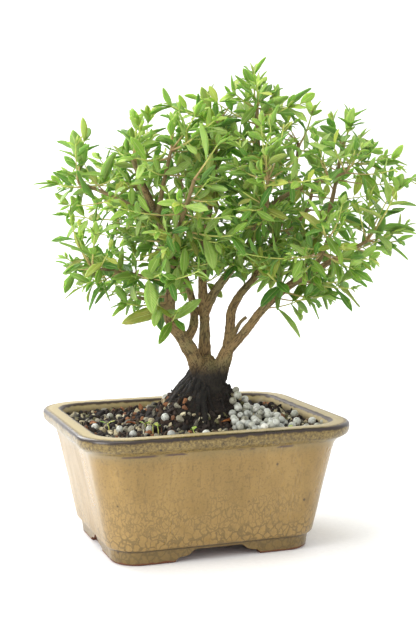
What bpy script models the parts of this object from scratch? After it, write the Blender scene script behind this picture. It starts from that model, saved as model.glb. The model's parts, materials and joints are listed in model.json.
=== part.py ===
# Serissa bonsai: a young, three-stemmed serissa in a glazed stoneware pot with cloud feet.
#
# Lengths below are in millimetres and become metres through MM. The pot's long side lies along X.
# The tree is drawn in its own frame, turned about Z so that its best side faces the viewer:
# there x runs to the viewer's right, y away from the viewer and z up, from the pot's foot plane.

import math
import random

import bmesh
import bpy
from mathutils import Matrix, Vector
from mathutils.bvhtree import BVHTree

MM = 0.001
GAP = 0.35  # clearance kept between pieces that rest against each other

# Pot
RIM_LENGTH = 150.0
RIM_WIDTH = 126.0
POT_HEIGHT = 70.0
CORNER_STEPS = 5
UNDERSIDE = (30.5, 6.5, 8.0)
FLOOR_TOP = 12.5
# Each station of the wall: inset from the rim's outline, height, corner radius. From the foot ring's
# inner edge up the outside, over the rim, and down the inside to the floor.
WALL = [
    (29.0, 0.0, 8.0),
    (20.0, 0.0, 14.0),
    (19.2, 7.4, 14.5),
    (17.2, 8.4, 16.0),
    (16.2, 12.0, 16.5),
    (14.2, 22.0, 17.5),
    (11.0, 38.0, 19.5),
    (7.6, 54.0, 21.5),
    (5.2, 61.5, 22.5),
    (1.2, 63.2, 23.5),
    (0.0, 65.0, 24.0),
    (0.0, 68.6, 24.0),
    (1.2, POT_HEIGHT, 23.3),
    (9.0, POT_HEIGHT, 17.5),
    (10.4, 68.6, 16.8),
    (11.6, 62.0, 16.2),
    (14.6, 46.0, 15.0),
    (20.0, 20.0, 12.5),
    (23.5, FLOOR_TOP, 10.0),
]
FOOT_LENGTH = 31.0  # along each side, from the corner to the cloud-shaped cut
# Half of the cut's outline, from the foot inwards: distance from the foot and height.
FOOT_CUT = [(0.0, -2.0), (0.5, 1.2), (2.4, 2.7), (5.4, 3.0), (8.2, 3.9), (10.4, 6.3)]
DRAIN_RADIUS = 6.0
DRAIN_OFFSET = 30.0

# Drainage mesh that lies over each hole
MESH_SIDE = 20.0
MESH_THICKNESS = 1.0
MESH_HOLES = 3
MESH_HOLE_SIDE = 4.0

# Soil
SOIL_SURFACE = 64.5
MOUND_HEIGHT = 27.5
MOUND_REACH_LEFT = 27.0
MOUND_REACH_RIGHT = 19.0
SOIL_RINGS = (1.0, 0.93, 0.82, 0.7, 0.58, 0.46, 0.34, 0.22, 0.1)
LUMP = 1.3  # height of the soil's lumps

# Tree
TREE_TURN = math.radians(-19.8)
TRUNK_FOOT = (9.0, 1.0)
ROOT_RADIUS = 10.0
ROOT_BOTTOM = 52.0
STEM_SIDES = 1  # bevel resolution of the woody stems
# Each stem's route: x, y, z and radius of each point.
STEMS = {
    "left_stem": [(6, 0, 80, 4.6), (2, -2, 99, 4.2), (-4, -5, 111, 3.8), (-11, -7, 122, 3.4), (-12, -8, 132, 3.0),
                  (-10, -9, 146, 2.7), (-12, -12, 161, 2.4), (-19, -16, 180, 2.0), (-26, -20, 197, 1.6),
                  (-31, -22, 210, 1.1)],
    "left_fork": [(-4, -5, 110, 2.6), (1, 0, 119, 2.5), (0, 12, 132, 2.1), (-7, 22, 151, 1.8), (-19, 32, 173, 1.4),
                  (-33, 38, 195, 1.0)],
    "middle_stem": [(8, 5, 80, 4.2), (7, 6, 104, 3.3), (7, 7, 121, 2.9), (6, 8, 137, 2.6), (6, 11, 156, 2.2),
                    (9, 11, 177, 1.9), (12, 8, 199, 1.5), (13, 5, 218, 1.2), (16, 3, 232, 0.9)],
    "middle_fork": [(7, 7, 124, 2.4), (12, 6, 136, 2.5), (22, 4, 150, 2.3), (32, 2, 164, 2.1), (38, 0, 181, 1.8),
                    (38, -2, 200, 1.5), (36, -4, 219, 1.1), (35, -5, 237, 0.8)],
    "right_stem": [(12, 0, 80, 4.8), (17, -1, 98, 4.2), (20, -2, 107, 3.5), (21, 0, 116, 2.8), (22, 2, 127, 2.5),
                   (27, 5, 136, 2.2), (35, 10, 145, 2.0), (44, 16, 161, 1.7), (52, 22, 181, 1.4), (58, 25, 202, 1.1),
                   (60, 26, 220, 0.9)],
    "right_limb": [(19, -2, 104, 2.6), (29, -6, 116, 2.5), (39, -8, 129, 2.3), (52, -10, 141, 2.1),
                   (65, -12, 149, 1.8), (80, -14, 158, 1.4), (94, -16, 166, 1.0)],
    "right_riser": [(52, -10, 140, 1.6), (64, -2, 156, 1.4), (74, 6, 176, 1.3), (80, 10, 199, 1.1),
                    (83, 12, 218, 0.8)],
    "cut_stub": [(22, -2, 111, 1.4), (26, -3, 120, 1.1), (30, -3, 124, 1.0)],
    "low_left": [(-10, -9, 142, 1.6), (-22, -17, 146, 1.3), (-38, -23, 150, 1.1), (-52, -26, 152, 0.8)],
    "bare_twig": [(-11, -8, 129, 1.2), (-21, -12, 133, 1.0), (-34, -14, 137, 0.8)],
    "far_left": [(-19, -16, 179, 1.5), (-32, -19, 185, 1.2), (-47, -18, 192, 1.0), (-60, -16, 197, 0.8)],
    "rear_left": [(6, 10, 153, 1.7), (3, 32, 168, 1.4), (-3, 50, 186, 1.2), (-9, 60, 204, 0.9)],
    "rear_right": [(43, 15, 158, 1.6), (55, 36, 168, 1.3), (67, 52, 182, 1.1), (72, 60, 198, 0.9)],
    "rear_top": [(32, 2, 163, 1.6), (33, 30, 178, 1.3), (32, 48, 198, 1.1), (30, 56, 217, 0.9)],
    "front_left": [(-12, -12, 158, 1.6), (-8, -32, 169, 1.3), (-2, -48, 185, 1.1), (2, -55, 198, 0.9)],
    "front_right": [(32, 2, 164, 1.6), (36, -20, 173, 1.3), (39, -40, 185, 1.1), (39, -50, 198, 0.9)],
    "right_reach": [(38, 0, 180, 1.6), (50, -14, 190, 1.3), (64, -22, 196, 1.1), (81, -26, 202, 0.8)],
    "front_low_right": [(64, -12, 148, 1.5), (68, -30, 158, 1.2), (70, -44, 168, 0.9)],
    "upper_left": [(-18, -16, 178, 1.4), (-14, -32, 197, 1.2), (-10, -38, 213, 0.9)],
}

# Crown: each leafy shoot ends on a surface round this centre. Its reach in the viewer's plane follows
# the angle from the viewer's right, anticlockwise.
CROWN_CENTRE = Vector((21.0, 2.0, 188.0))
CROWN_REACH = [
    (0, 108), (8, 112), (30, 90), (50, 78), (65, 68), (79, 82), (90, 70), (115, 70), (132, 76), (147, 84),
    (166, 110), (183, 109), (204, 107), (222, 98), (237, 86), (249, 80), (265, 56), (280, 52), (290, 64),
    (305, 80), (318, 90), (335, 104), (350, 108), (360, 108),
]
CROWN_DEPTH = 82.0
LOWEST_AIM = -0.72  # shoots don't aim further down than this

# Leafy shoots
SHOOTS = 48
SHOOT_SEED = 7
TURN = math.pi * (3 - math.sqrt(5))  # the golden angle spreads the shoots evenly
SHOOT_SHORTEST = 20.0
TWIG_RADIUS = 0.75
PAIR_SPACING = (0.0, 8.0, 17.0, 27.0)  # leaf pairs, measured back from the shoot's tip
LEAF_LENGTH = (16.0, 25.0)  # at the tip of a shoot, and at its base
LEAF_SLENDERNESS = (0.27, 0.34)  # width over length
LEAF_THICKNESS = 0.85
LEAF_TRIES = 14
LEAF_MARGIN = 0.9  # how much fatter a leaf is while its place is tested
# Stations along a blade: share of the length, share of the half width, share of the thickness.
BLADE = ((0.30, 0.92, 1.0), (0.68, 0.88, 0.9))

# Fertiliser pellets, heaped beside the trunk
PELLET_RADIUS = 2.5
PELLET_PITCH = 3.5
PELLET_ROWS = 7
PELLET_COLUMNS = 5
PELLET_HEAP = (36.0, -20.0)  # centre of the heap, in the tree's frame
PELLET_SEED = 11

COLOURS = {
    "glaze": ((0.46, 0.29, 0.12), 0.25),
    "black_plastic": ((0.02, 0.02, 0.02), 0.5),
    "dark_soil": ((0.045, 0.03, 0.02), 0.95),
    "bark": ((0.28, 0.19, 0.10), 0.85),
    "pellet_grey": ((0.52, 0.53, 0.48), 0.6),
    "leaf_light": ((0.20, 0.42, 0.06), 0.5),
    "leaf_mid": ((0.11, 0.30, 0.04), 0.5),
    "leaf_dark": ((0.05, 0.18, 0.03), 0.5),
}


def clear_scene():
    for obj in list(bpy.data.objects):
        bpy.data.objects.remove(obj)


def new_collection(name, shown=True):
    collection = bpy.data.collections.new(name)
    bpy.context.scene.collection.children.link(collection)
    collection.hide_render = not shown
    return collection


def material(name):
    colour, roughness = COLOURS[name]
    made = bpy.data.materials.get(name) or bpy.data.materials.new(name)
    made.use_nodes = True
    shader = made.node_tree.nodes["Principled BSDF"]
    shader.inputs["Base Color"].default_value = (*colour, 1.0)
    shader.inputs["Roughness"].default_value = roughness
    shader.inputs["Metallic"].default_value = 0.0
    return made


def object_from(bm, name, collection, finish=None, parent=None):
    """A mesh object made of bm, which is in millimetres."""
    bmesh.ops.scale(bm, vec=(MM, MM, MM), verts=bm.verts)
    mesh = bpy.data.meshes.new(name)
    bm.to_mesh(mesh)
    bm.free()
    obj = bpy.data.objects.new(name, mesh)
    collection.objects.link(obj)
    obj.parent = parent
    if finish:
        mesh.materials.append(material(finish))
    return obj


def evaluated_mesh(obj):
    bpy.context.view_layer.update()
    graph = bpy.context.evaluated_depsgraph_get()
    return bpy.data.meshes.new_from_object(obj.evaluated_get(graph))


def smooth(obj, angle):
    obj.data.shade_smooth()
    obj.data.set_sharp_from_angle(angle=math.radians(angle))


def boolean(obj, operation, other):
    """Applies one Boolean with an object or a collection, and removes what it used."""
    modifier = obj.modifiers.new(operation.title(), "BOOLEAN")
    modifier.operation = operation
    modifier.solver = "EXACT"
    several = isinstance(other, bpy.types.Collection)
    if several:
        modifier.operand_type = "COLLECTION"
        modifier.collection = other
    else:
        modifier.object = other
    mesh = evaluated_mesh(obj)
    obj.modifiers.clear()
    obj.data = mesh
    for used in list(other.objects) if several else [other]:
        bpy.data.objects.remove(used)
    if several:
        bpy.data.collections.remove(other)


# Outlines and lofts


def rounded_rectangle(length, width, radius):
    """Points of a rounded rectangle about the origin, anticlockwise."""
    points = []
    corners = ((1, 1, 0), (-1, 1, 90), (-1, -1, 180), (1, -1, 270))
    for sign_x, sign_y, first in corners:
        centre = Vector((sign_x * (length / 2 - radius), sign_y * (width / 2 - radius)))
        for step in range(CORNER_STEPS + 1):
            angle = math.radians(first + 90 * step / CORNER_STEPS)
            points.append(centre + radius * Vector((math.cos(angle), math.sin(angle))))
    return points


def rim_outline(inset, radius):
    return rounded_rectangle(RIM_LENGTH - 2 * inset, RIM_WIDTH - 2 * inset, radius)


def add_loop(bm, outline, height):
    """One ring of vertices; height is a number, or a function of the point."""
    rise = height if callable(height) else lambda point: height
    return [bm.verts.new((point.x, point.y, rise(point))) for point in outline]


def skin_loops(bm, loops):
    """Joins each ring to the next with quads, and closes the first and last rings."""
    for lower, upper in zip(loops, loops[1:]):
        for i, corner in enumerate(lower):
            j = (i + 1) % len(lower)
            bm.faces.new((corner, lower[j], upper[j], upper[i]))
    bm.faces.new(reversed(loops[0]))
    bm.faces.new(loops[-1])
    bmesh.ops.recalc_face_normals(bm, faces=bm.faces)


def inner_wall(height):
    """Inset and corner radius of the pot's inner wall at a height."""
    inside = WALL[-6:]
    for (inset, top, radius), (next_inset, low, next_radius) in zip(inside, inside[1:]):
        if low <= height <= top:
            share = (top - height) / (top - low)
            return inset + share * (next_inset - inset), radius + share * (next_radius - radius)
    raise ValueError("that height is outside the pot's inner wall")


# Pot


def foot_cutter(length, across, turned, cutters):
    """A prism with a cloud-shaped top, which opens the foot ring between two feet."""
    half = length / 2
    profile = [(half - along, z) for along, z in FOOT_CUT]
    profile += [(along - half, z) for along, z in reversed(FOOT_CUT)]
    bm = bmesh.new()
    near = [bm.verts.new((x, -across, z)) for x, z in profile]
    far = [bm.verts.new((x, across, z)) for x, z in profile]
    skin_loops(bm, [near, far])
    if turned:
        bmesh.ops.rotate(bm, matrix=Matrix.Rotation(math.pi / 2, 3, "Z"), verts=bm.verts)
    return object_from(bm, "foot_cutter", cutters)


def drain_cutter(side, cutters):
    bm = bmesh.new()
    bmesh.ops.create_cone(bm, cap_ends=True, segments=16, radius1=DRAIN_RADIUS, radius2=DRAIN_RADIUS, depth=40.0)
    bmesh.ops.translate(bm, vec=(side * DRAIN_OFFSET, 0, FLOOR_TOP), verts=bm.verts)
    return object_from(bm, "drain_cutter", cutters)


def make_pot(parts, whole):
    """The stoneware pot: one fired piece with a foot ring, a flared wall and a flat, overhanging rim."""
    bm = bmesh.new()
    inset, height, radius = UNDERSIDE
    loops = [add_loop(bm, rim_outline(inset, radius), height)]
    loops += [add_loop(bm, rim_outline(inset, radius), height) for inset, height, radius in WALL]
    skin_loops(bm, loops)
    pot = object_from(bm, "pot", parts, "glaze", whole)
    cutters = new_collection("pot_cutters", shown=False)
    foot_inset = WALL[1][0]
    foot_cutter(RIM_LENGTH - 2 * foot_inset - 2 * FOOT_LENGTH, RIM_WIDTH, False, cutters)
    boolean(pot, "DIFFERENCE", cutters)
    cutters = new_collection("pot_cutters", shown=False)
    foot_cutter(RIM_WIDTH - 2 * foot_inset - 2 * FOOT_LENGTH, RIM_LENGTH, True, cutters)
    for side in (-1, 1):
        drain_cutter(side, cutters)
    boolean(pot, "DIFFERENCE", cutters)
    smooth(pot, 35)
    return pot


def make_drain_mesh(side, name, parts, whole):
    """A square of plastic mesh on the pot's floor, which keeps the soil off the drain hole."""
    bm = bmesh.new()
    bmesh.ops.create_cube(bm, size=1.0)
    bmesh.ops.scale(bm, vec=(MESH_SIDE, MESH_SIDE, MESH_THICKNESS), verts=bm.verts)
    place = Vector((side * DRAIN_OFFSET, 0, FLOOR_TOP + GAP + MESH_THICKNESS / 2))
    bmesh.ops.translate(bm, vec=place, verts=bm.verts)
    sheet = object_from(bm, name, parts, "black_plastic", whole)
    holes = new_collection("mesh_holes", shown=False)
    pitch = MESH_SIDE / MESH_HOLES
    for row in range(MESH_HOLES):
        for column in range(MESH_HOLES):
            bm = bmesh.new()
            bmesh.ops.create_cube(bm, size=MESH_HOLE_SIDE)
            offset = Vector((column + 0.5 - MESH_HOLES / 2, row + 0.5 - MESH_HOLES / 2, 0)) * pitch
            bmesh.ops.translate(bm, vec=place + offset, verts=bm.verts)
            object_from(bm, "mesh_hole", holes)
    boolean(sheet, "DIFFERENCE", holes)
    return sheet


# Soil


def tree_to_pot(x, y):
    """A plan point of the tree's frame, in the pot's frame."""
    return Matrix.Rotation(TREE_TURN, 2) @ Vector((x, y))


def soil_height(point):
    """The soil's surface over a plan point of the pot's frame: flat with lumps, and a mound at the trunk."""
    trunk = tree_to_pot(*TRUNK_FOOT)
    away = Matrix.Rotation(-TREE_TURN, 2) @ (Vector((point.x, point.y)) - trunk)
    rightness = 0.5 + 0.5 * away.x / max(away.length, 1e-6)
    reach = MOUND_REACH_LEFT + (MOUND_REACH_RIGHT - MOUND_REACH_LEFT) * rightness
    lumps = math.sin(0.31 * point.x + 1.0) * math.sin(0.37 * point.y) + 0.6 * math.sin(0.8 * point.x - 0.7 * point.y)
    return SOIL_SURFACE + MOUND_HEIGHT * math.exp(-((away.length / reach) ** 2)) + 0.6 * LUMP * lumps


def make_soil(parts, whole):
    """The soil that fills the pot, with a plain hole where the trunk stands."""
    bm = bmesh.new()
    loops = []
    lowest = FLOOR_TOP + GAP
    for height in (lowest, 20.0, 46.0, SOIL_SURFACE - 2.5):
        inset, radius = inner_wall(height)
        loops.append(add_loop(bm, rim_outline(inset + 1.2 * GAP, radius), height))
    inset, radius = inner_wall(SOIL_SURFACE)
    edge = rim_outline(inset + 1.2 * GAP, radius)
    trunk = tree_to_pot(*TRUNK_FOOT)
    for ring in SOIL_RINGS:
        loops.append(add_loop(bm, [trunk + ring * (point - trunk) for point in edge], soil_height))
    skin_loops(bm, loops)
    soil = object_from(bm, "soil", parts, "dark_soil", whole)
    cutters = new_collection("soil_cutters", shown=False)
    bm = bmesh.new()
    hole = (ROOT_RADIUS + GAP) / math.cos(math.pi / 24)
    bmesh.ops.create_cone(bm, cap_ends=True, segments=24, radius1=hole, radius2=hole, depth=60.0)
    bmesh.ops.translate(bm, vec=(trunk.x, trunk.y, ROOT_BOTTOM - GAP + 30.0), verts=bm.verts)
    object_from(bm, "trunk_hole", cutters)
    for side in (-1, 1):
        bm = bmesh.new()
        bmesh.ops.create_cube(bm, size=1.0)
        room = MESH_SIDE + 2 * GAP
        bmesh.ops.scale(bm, vec=(room, room, 2 * (MESH_THICKNESS + 2 * GAP)), verts=bm.verts)
        bmesh.ops.translate(bm, vec=(side * DRAIN_OFFSET, 0, FLOOR_TOP), verts=bm.verts)
        object_from(bm, "mesh_recess", cutters)
    boolean(soil, "DIFFERENCE", cutters)
    smooth(soil, 50)
    return soil


def make_pellets(soil, parts, whole):
    """The heap of slow-release fertiliser pellets, stuck together where they touch."""
    draw = random.Random(PELLET_SEED)
    surface = BVHTree.FromPolygons(
        [vertex.co / MM for vertex in soil.data.vertices], [face.vertices for face in soil.data.polygons]
    )
    heap = new_collection("heap", shown=False)
    balls = []
    for row in range(PELLET_ROWS):
        for column in range(PELLET_COLUMNS):
            across = (column + 0.5 * (row % 2) - (PELLET_COLUMNS - 1) / 2) * PELLET_PITCH
            along = (row - (PELLET_ROWS - 1) / 2) * PELLET_PITCH * 0.87
            if math.hypot(across, along) > PELLET_PITCH * 2.6:
                continue
            jitter = Vector((draw.uniform(-0.2, 0.2), draw.uniform(-0.2, 0.2)))
            plan = tree_to_pot(PELLET_HEAP[0] + across + jitter.x, PELLET_HEAP[1] + along + jitter.y)
            centre = Vector((plan.x, plan.y, soil_height(plan) + PELLET_RADIUS))
            while surface.find_nearest(centre)[3] < PELLET_RADIUS + GAP:
                centre.z += 0.1
            bm = bmesh.new()
            bmesh.ops.create_uvsphere(bm, u_segments=6, v_segments=4, radius=PELLET_RADIUS)
            turn = Matrix.Rotation(draw.uniform(0, math.pi), 3, "X") @ Matrix.Rotation(draw.uniform(0, 3), 3, "Z")
            bmesh.ops.rotate(bm, matrix=turn, verts=bm.verts)
            bmesh.ops.translate(bm, vec=centre, verts=bm.verts)
            balls.append(object_from(bm, "ball", heap))
    first = balls[0]
    heap.objects.unlink(first)
    parts.objects.link(first)
    first.name = "fertiliser_pellets"
    first.parent = whole
    boolean(first, "UNION", heap)
    first.data.materials.clear()
    first.data.materials.append(material("pellet_grey"))
    smooth(first, 60)
    return first


# Woody frame of the tree


def tube(name, route, sides, collection):
    """A closed tube along points of x, y, z and radius, as a mesh object in metres."""
    curve = bpy.data.curves.new(name, "CURVE")
    curve.dimensions = "3D"
    curve.bevel_depth = MM
    curve.bevel_resolution = sides
    curve.use_fill_caps = True
    spline = curve.splines.new("POLY")
    spline.points.add(len(route) - 1)
    for point, (x, y, z, radius) in zip(spline.points, route):
        point.co = (x * MM, y * MM, z * MM, 1.0)
        point.radius = radius
    guide = bpy.data.objects.new(name + "_guide", curve)
    collection.objects.link(guide)
    mesh = evaluated_mesh(guide)
    bpy.data.objects.remove(guide)
    bm = bmesh.new()
    bm.from_mesh(mesh)
    bmesh.ops.remove_doubles(bm, verts=bm.verts, dist=1e-6)
    bmesh.ops.recalc_face_normals(bm, faces=bm.faces)
    bm.to_mesh(mesh)
    bm.free()
    obj = bpy.data.objects.new(name, mesh)
    collection.objects.link(obj)
    return obj


def make_tree(parts, turned):
    """Root flare, stems and branches, grown together as one piece of wood."""
    wood = new_collection("wood", shown=False)
    x, y = TRUNK_FOOT
    flare = [(x, y, ROOT_BOTTOM, 8.0), (x, y, 66.0, ROOT_RADIUS), (x, y, 84.0, ROOT_RADIUS),
             (x, y, 91.0, 9.2), (x, y + 0.5, 97.0, 6.6), (x + 0.5, y + 1, 102.0, 2.4)]
    tree = tube("trunk_and_branches", flare, 6, parts)
    for name, route in STEMS.items():
        tube(name, route, STEM_SIDES, wood)
    boolean(tree, "UNION", wood)
    tree.data.materials.clear()
    tree.data.materials.append(material("bark"))
    tree.parent = turned
    smooth(tree, 60)
    return tree


# Leafy shoots


class Room:
    """What already stands in the crown, for finding a free place for the next leaf or twig."""

    def __init__(self):
        self.pieces = []

    def add(self, owner, points, faces):
        tree = BVHTree.FromPolygons(points, faces)
        middle = sum(points, Vector()) / len(points)
        size = max((point - middle).length for point in points)
        self.pieces.append((owner, tree, middle, size))

    def free(self, owner, points, faces):
        """Whether a shape stays clear of every piece with another owner."""
        tree = BVHTree.FromPolygons(points, faces)
        middle = sum(points, Vector()) / len(points)
        size = max((point - middle).length for point in points)
        for other, standing, centre, reach in self.pieces:
            if other == owner or (centre - middle).length > size + reach:
                continue
            if tree.overlap(standing):
                return False
        return True


def mesh_shape(mesh):
    """Points in millimetres, and faces, of a mesh in metres."""
    return [vertex.co / MM for vertex in mesh.vertices], [list(face.vertices) for face in mesh.polygons]


def crown_reach(angle):
    """Reach of the crown in the viewer's plane at an angle in degrees."""
    for (low, near), (high, far) in zip(CROWN_REACH, CROWN_REACH[1:]):
        if low <= angle <= high:
            share = (angle - low) / (high - low)
            return near + (far - near) * share
    raise ValueError("the angle isn't between 0 and 360")


def shoot_tips():
    """Evenly spread places on the crown's surface where shoots end."""
    tips = []
    for index in range(SHOOTS):
        aim_z = 1 - (1 - LOWEST_AIM) * (index + 0.5) / SHOOTS
        flat = math.sqrt(1 - aim_z * aim_z)
        aim = Vector((flat * math.cos(index * TURN), flat * math.sin(index * TURN), aim_z))
        reach = crown_reach(math.degrees(math.atan2(aim.z, aim.x)) % 360) - LEAF_LENGTH[0] * 0.8
        in_plane = math.hypot(aim.x, aim.z)
        reach_here = reach * in_plane + (CROWN_DEPTH - LEAF_LENGTH[0]) * (1 - in_plane)
        tips.append(CROWN_CENTRE + reach_here * aim)
    return tips


def nearest_wood(tip):
    """Point on the woody frame's outer half that best carries a shoot with this tip."""
    best = None
    for name, route in STEMS.items():
        if name in ("cut_stub", "bare_twig"):
            continue
        for (ax, ay, az, _), (bx, by, bz, _) in zip(route[1:], route[2:]):
            for share in (0.25, 0.5, 0.75, 1.0):
                point = Vector((ax, ay, az)).lerp(Vector((bx, by, bz)), share)
                gap = tip - point
                misfit = abs(gap.length - SHOOT_SHORTEST) + 1.5 * max(0.0, -gap.z)
                if point.z > 120 and (best is None or misfit < best[0]):
                    best = (misfit, point)
    return best[1]


def twig_route(start, tip, bow):
    """Four points of a shallow arc from start to tip, thinner at the tip."""
    middle = start.lerp(tip, 0.5) + bow
    route = []
    for step in range(4):
        share = step / 3
        point = start * (1 - share) ** 2 + middle * 2 * share * (1 - share) + tip * share ** 2
        route.append((*point, TWIG_RADIUS * (1 - 0.35 * share)))
    return route


def seat(anchor, tip, wood):
    """Where a twig that leaves the wood at anchor starts: the rim of its end stands just off the bark."""
    direction = (tip - anchor).normalized()
    hit = wood.ray_cast(anchor + direction * 12.0, -direction)[0] or anchor
    out = direction.orthogonal().normalized() * TWIG_RADIUS
    rim = [Matrix.Rotation(step * math.pi / 4, 3, direction) @ out for step in range(8)]
    steps = [0.1 * step for step in range(60)]
    clear = [
        step for step in steps if min(wood.find_nearest(hit + direction * step + point)[3] for point in rim) > GAP
    ]
    return hit + direction * (clear[0] if clear else steps[-1])


def place_twigs(tree, room, guides):
    """A route and a mesh for every shoot's twig, clear of the wood and of each other."""
    draw = random.Random(SHOOT_SEED)
    points, faces = mesh_shape(tree.data)
    wood = BVHTree.FromPolygons(points, faces)
    room.add("wood", points, faces)
    twigs = []
    for index, tip in enumerate(shoot_tips()):
        anchor = nearest_wood(tip)
        reach = (tip - anchor).length
        for attempt in range(40):
            spread = 0.6 * attempt
            moved = tip + Vector([draw.uniform(-spread, spread) for _ in range(3)])
            start = seat(anchor, moved, wood)
            bow = Vector([draw.uniform(-0.06, 0.06) for _ in range(2)] + [-0.10]) * reach
            route = twig_route(start, moved, bow)
            fat = [(x, y, z, radius + 0.3) for x, y, z, radius in route[1:]]
            fat_tube = tube("fat", fat, 0, guides)
            shape = mesh_shape(fat_tube.data)
            bpy.data.objects.remove(fat_tube)
            thin_tube = tube(f"twig_{index + 1:02d}", route, 0, guides)
            clear = room.free(index, *shape) and room.free(index, *mesh_shape(thin_tube.data))
            if clear:
                room.add(index, *mesh_shape(thin_tube.data))
                twigs.append((index, route, thin_tube))
                break
            bpy.data.objects.remove(thin_tube)
    return twigs


def blade(bm, place, length, width, thickness, arch, fold):
    """One closed leaf blade, lens-shaped across, folded along its midrib and arched down to its tip."""
    rings = len(BLADE)
    made = bmesh.ops.create_uvsphere(bm, u_segments=4, v_segments=rings + 1, radius=1.0)["verts"]
    for vertex in made:
        station = round((rings + 1) * math.acos(max(-1.0, min(1.0, vertex.co.z))) / math.pi)
        if station in (0, rings + 1):
            share, half, thick, side, face = station / (rings + 1), 0.0, 0.0, 0, 0
        else:
            share, half, thick = BLADE[station - 1]
            flat = vertex.co.to_2d().normalized()
            side, face = round(flat.x), round(flat.y)
        sink = -arch * length * share * share + abs(side) * fold * width * 0.5 * half
        vertex.co = place @ Vector((length * share, side * half * width / 2, sink + face * thick * thickness / 2))
    split_alike(bm, place)
    bmesh.ops.recalc_face_normals(bm, faces=bm.faces)


def split_alike(bm, place):
    """Splits each quad from its margin corner nearer the base, so that both faces of a blade match."""
    inverse = place.inverted()
    for quad in [face for face in bm.faces if len(face.verts) == 4]:
        local = {vertex: inverse @ vertex.co for vertex in quad.verts}
        margin = sorted(quad.verts, key=lambda vertex: -abs(local[vertex].y))[:2]
        first = min(margin, key=lambda vertex: local[vertex].x)
        midrib = [vertex for vertex in quad.verts if vertex not in margin]
        far = max(midrib, key=lambda vertex: local[vertex].x)
        bmesh.utils.face_split(quad, first, far)


def leaf_place(base, along, facing, roll):
    """The frame of a leaf: x along the blade, z out of its upper face."""
    x = along.normalized()
    y = facing.cross(x).normalized()
    z = x.cross(y)
    frame = Matrix((x, y, z)).transposed().to_4x4()
    return Matrix.Translation(base) @ frame @ Matrix.Rotation(roll, 4, "X")


def leaf_shape(place, length, width, arch, fold, margin):
    """Points and faces of a leaf without the root that sinks into its twig, grown by a margin."""
    bm = bmesh.new()
    outset = place @ Matrix.Translation((2.2, 0, 0))
    blade(bm, outset, length - 2.2 + margin, width + 2 * margin, LEAF_THICKNESS + 2 * margin, arch, fold)
    points = [vertex.co.copy() for vertex in bm.verts]
    faces = [[vertex.index for vertex in face.verts] for face in bm.faces]
    bm.free()
    return points, faces


def place_leaves(index, route, room):
    """Opposite pairs of leaves along a twig, each pair at right angles to the last, and one at its tip."""
    points = [Vector(point[:3]) for point in route]
    length = sum((b - a).length for a, b in zip(points, points[1:]))
    leaves = []
    turn = random.Random(1000 + index).uniform(0, math.pi)
    for number, back in enumerate(PAIR_SPACING):
        if back > length - 5:
            break
        position = (1 - back / length) * 3
        span = min(int(position), 2)
        base = points[span].lerp(points[span + 1], position - span)
        axis = (points[span + 1] - points[span]).normalized()
        side = axis.cross(Vector((0, 0, 1)) + 0.01 * axis.orthogonal()).normalized()
        for mate in range(3 if number == 0 else 2):
            draw = random.Random(100 * index + 10 * number + mate)
            grown = LEAF_LENGTH[0] + (LEAF_LENGTH[1] - LEAF_LENGTH[0]) * min(1.0, back / 20)
            for attempt in range(LEAF_TRIES):
                wide = 0.10 + 0.05 * attempt
                angle = turn + number * math.pi / 2 + mate * math.pi + draw.uniform(-wide, wide)
                lean = math.radians(38 + 10 * number) + draw.uniform(-wide, wide)
                if mate == 2:
                    lean = 0.25
                outward = Matrix.Rotation(angle, 3, axis) @ side
                along = axis * math.cos(lean) + outward * math.sin(lean)
                facing = axis * 0.7 + Vector((0, 0, 0.8))
                if facing.cross(along).length < 0.2:
                    facing = facing + side
                size = grown * draw.uniform(0.82, 1.12) * (1 - 0.035 * attempt)
                width = size * draw.uniform(*LEAF_SLENDERNESS)
                arch = draw.uniform(0.02, 0.16)
                fold = draw.uniform(0.10, 0.35)
                root = base - axis * 0.9 - along * 0.5
                place = leaf_place(root, along, facing, draw.uniform(-0.45, 0.45))
                owner = (index, number, mate)
                shape = leaf_shape(place, size, width, arch, fold, LEAF_MARGIN / 2)
                if room.free(index, *shape):
                    room.add(owner, *leaf_shape(place, size, width, arch, fold, 0.0))
                    leaves.append((place, size, width, arch, fold))
                    break
    return leaves


def make_shoot(index, twig, leaves, parts, turned):
    """One leafy shoot: its twig and leaves, grown together."""
    name = f"leafy_shoot_{index + 1:02d}"
    collection = new_collection(name + "_leaves", shown=False)
    for place, size, width, arch, fold in leaves:
        bm = bmesh.new()
        blade(bm, place, size, width, LEAF_THICKNESS, arch, fold)
        object_from(bm, "leaf", collection)
    for other in list(twig.users_collection):
        other.objects.unlink(twig)
    parts.objects.link(twig)
    twig.name = name
    boolean(twig, "UNION", collection)
    twig.parent = turned
    twig.data.materials.clear()
    twig.data.materials.append(material(("leaf_light", "leaf_mid", "leaf_dark")[index % 3]))
    return twig


def centre_on_footprint(parts, whole):
    """Moves everything so that the origin is the middle of the whole object's footprint."""
    bpy.context.view_layer.update()
    corners = [obj.matrix_world @ vertex.co for obj in parts.objects for vertex in obj.data.vertices]
    for axis in (0, 1):
        values = [corner[axis] for corner in corners]
        whole.location[axis] -= (min(values) + max(values)) / 2


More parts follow.
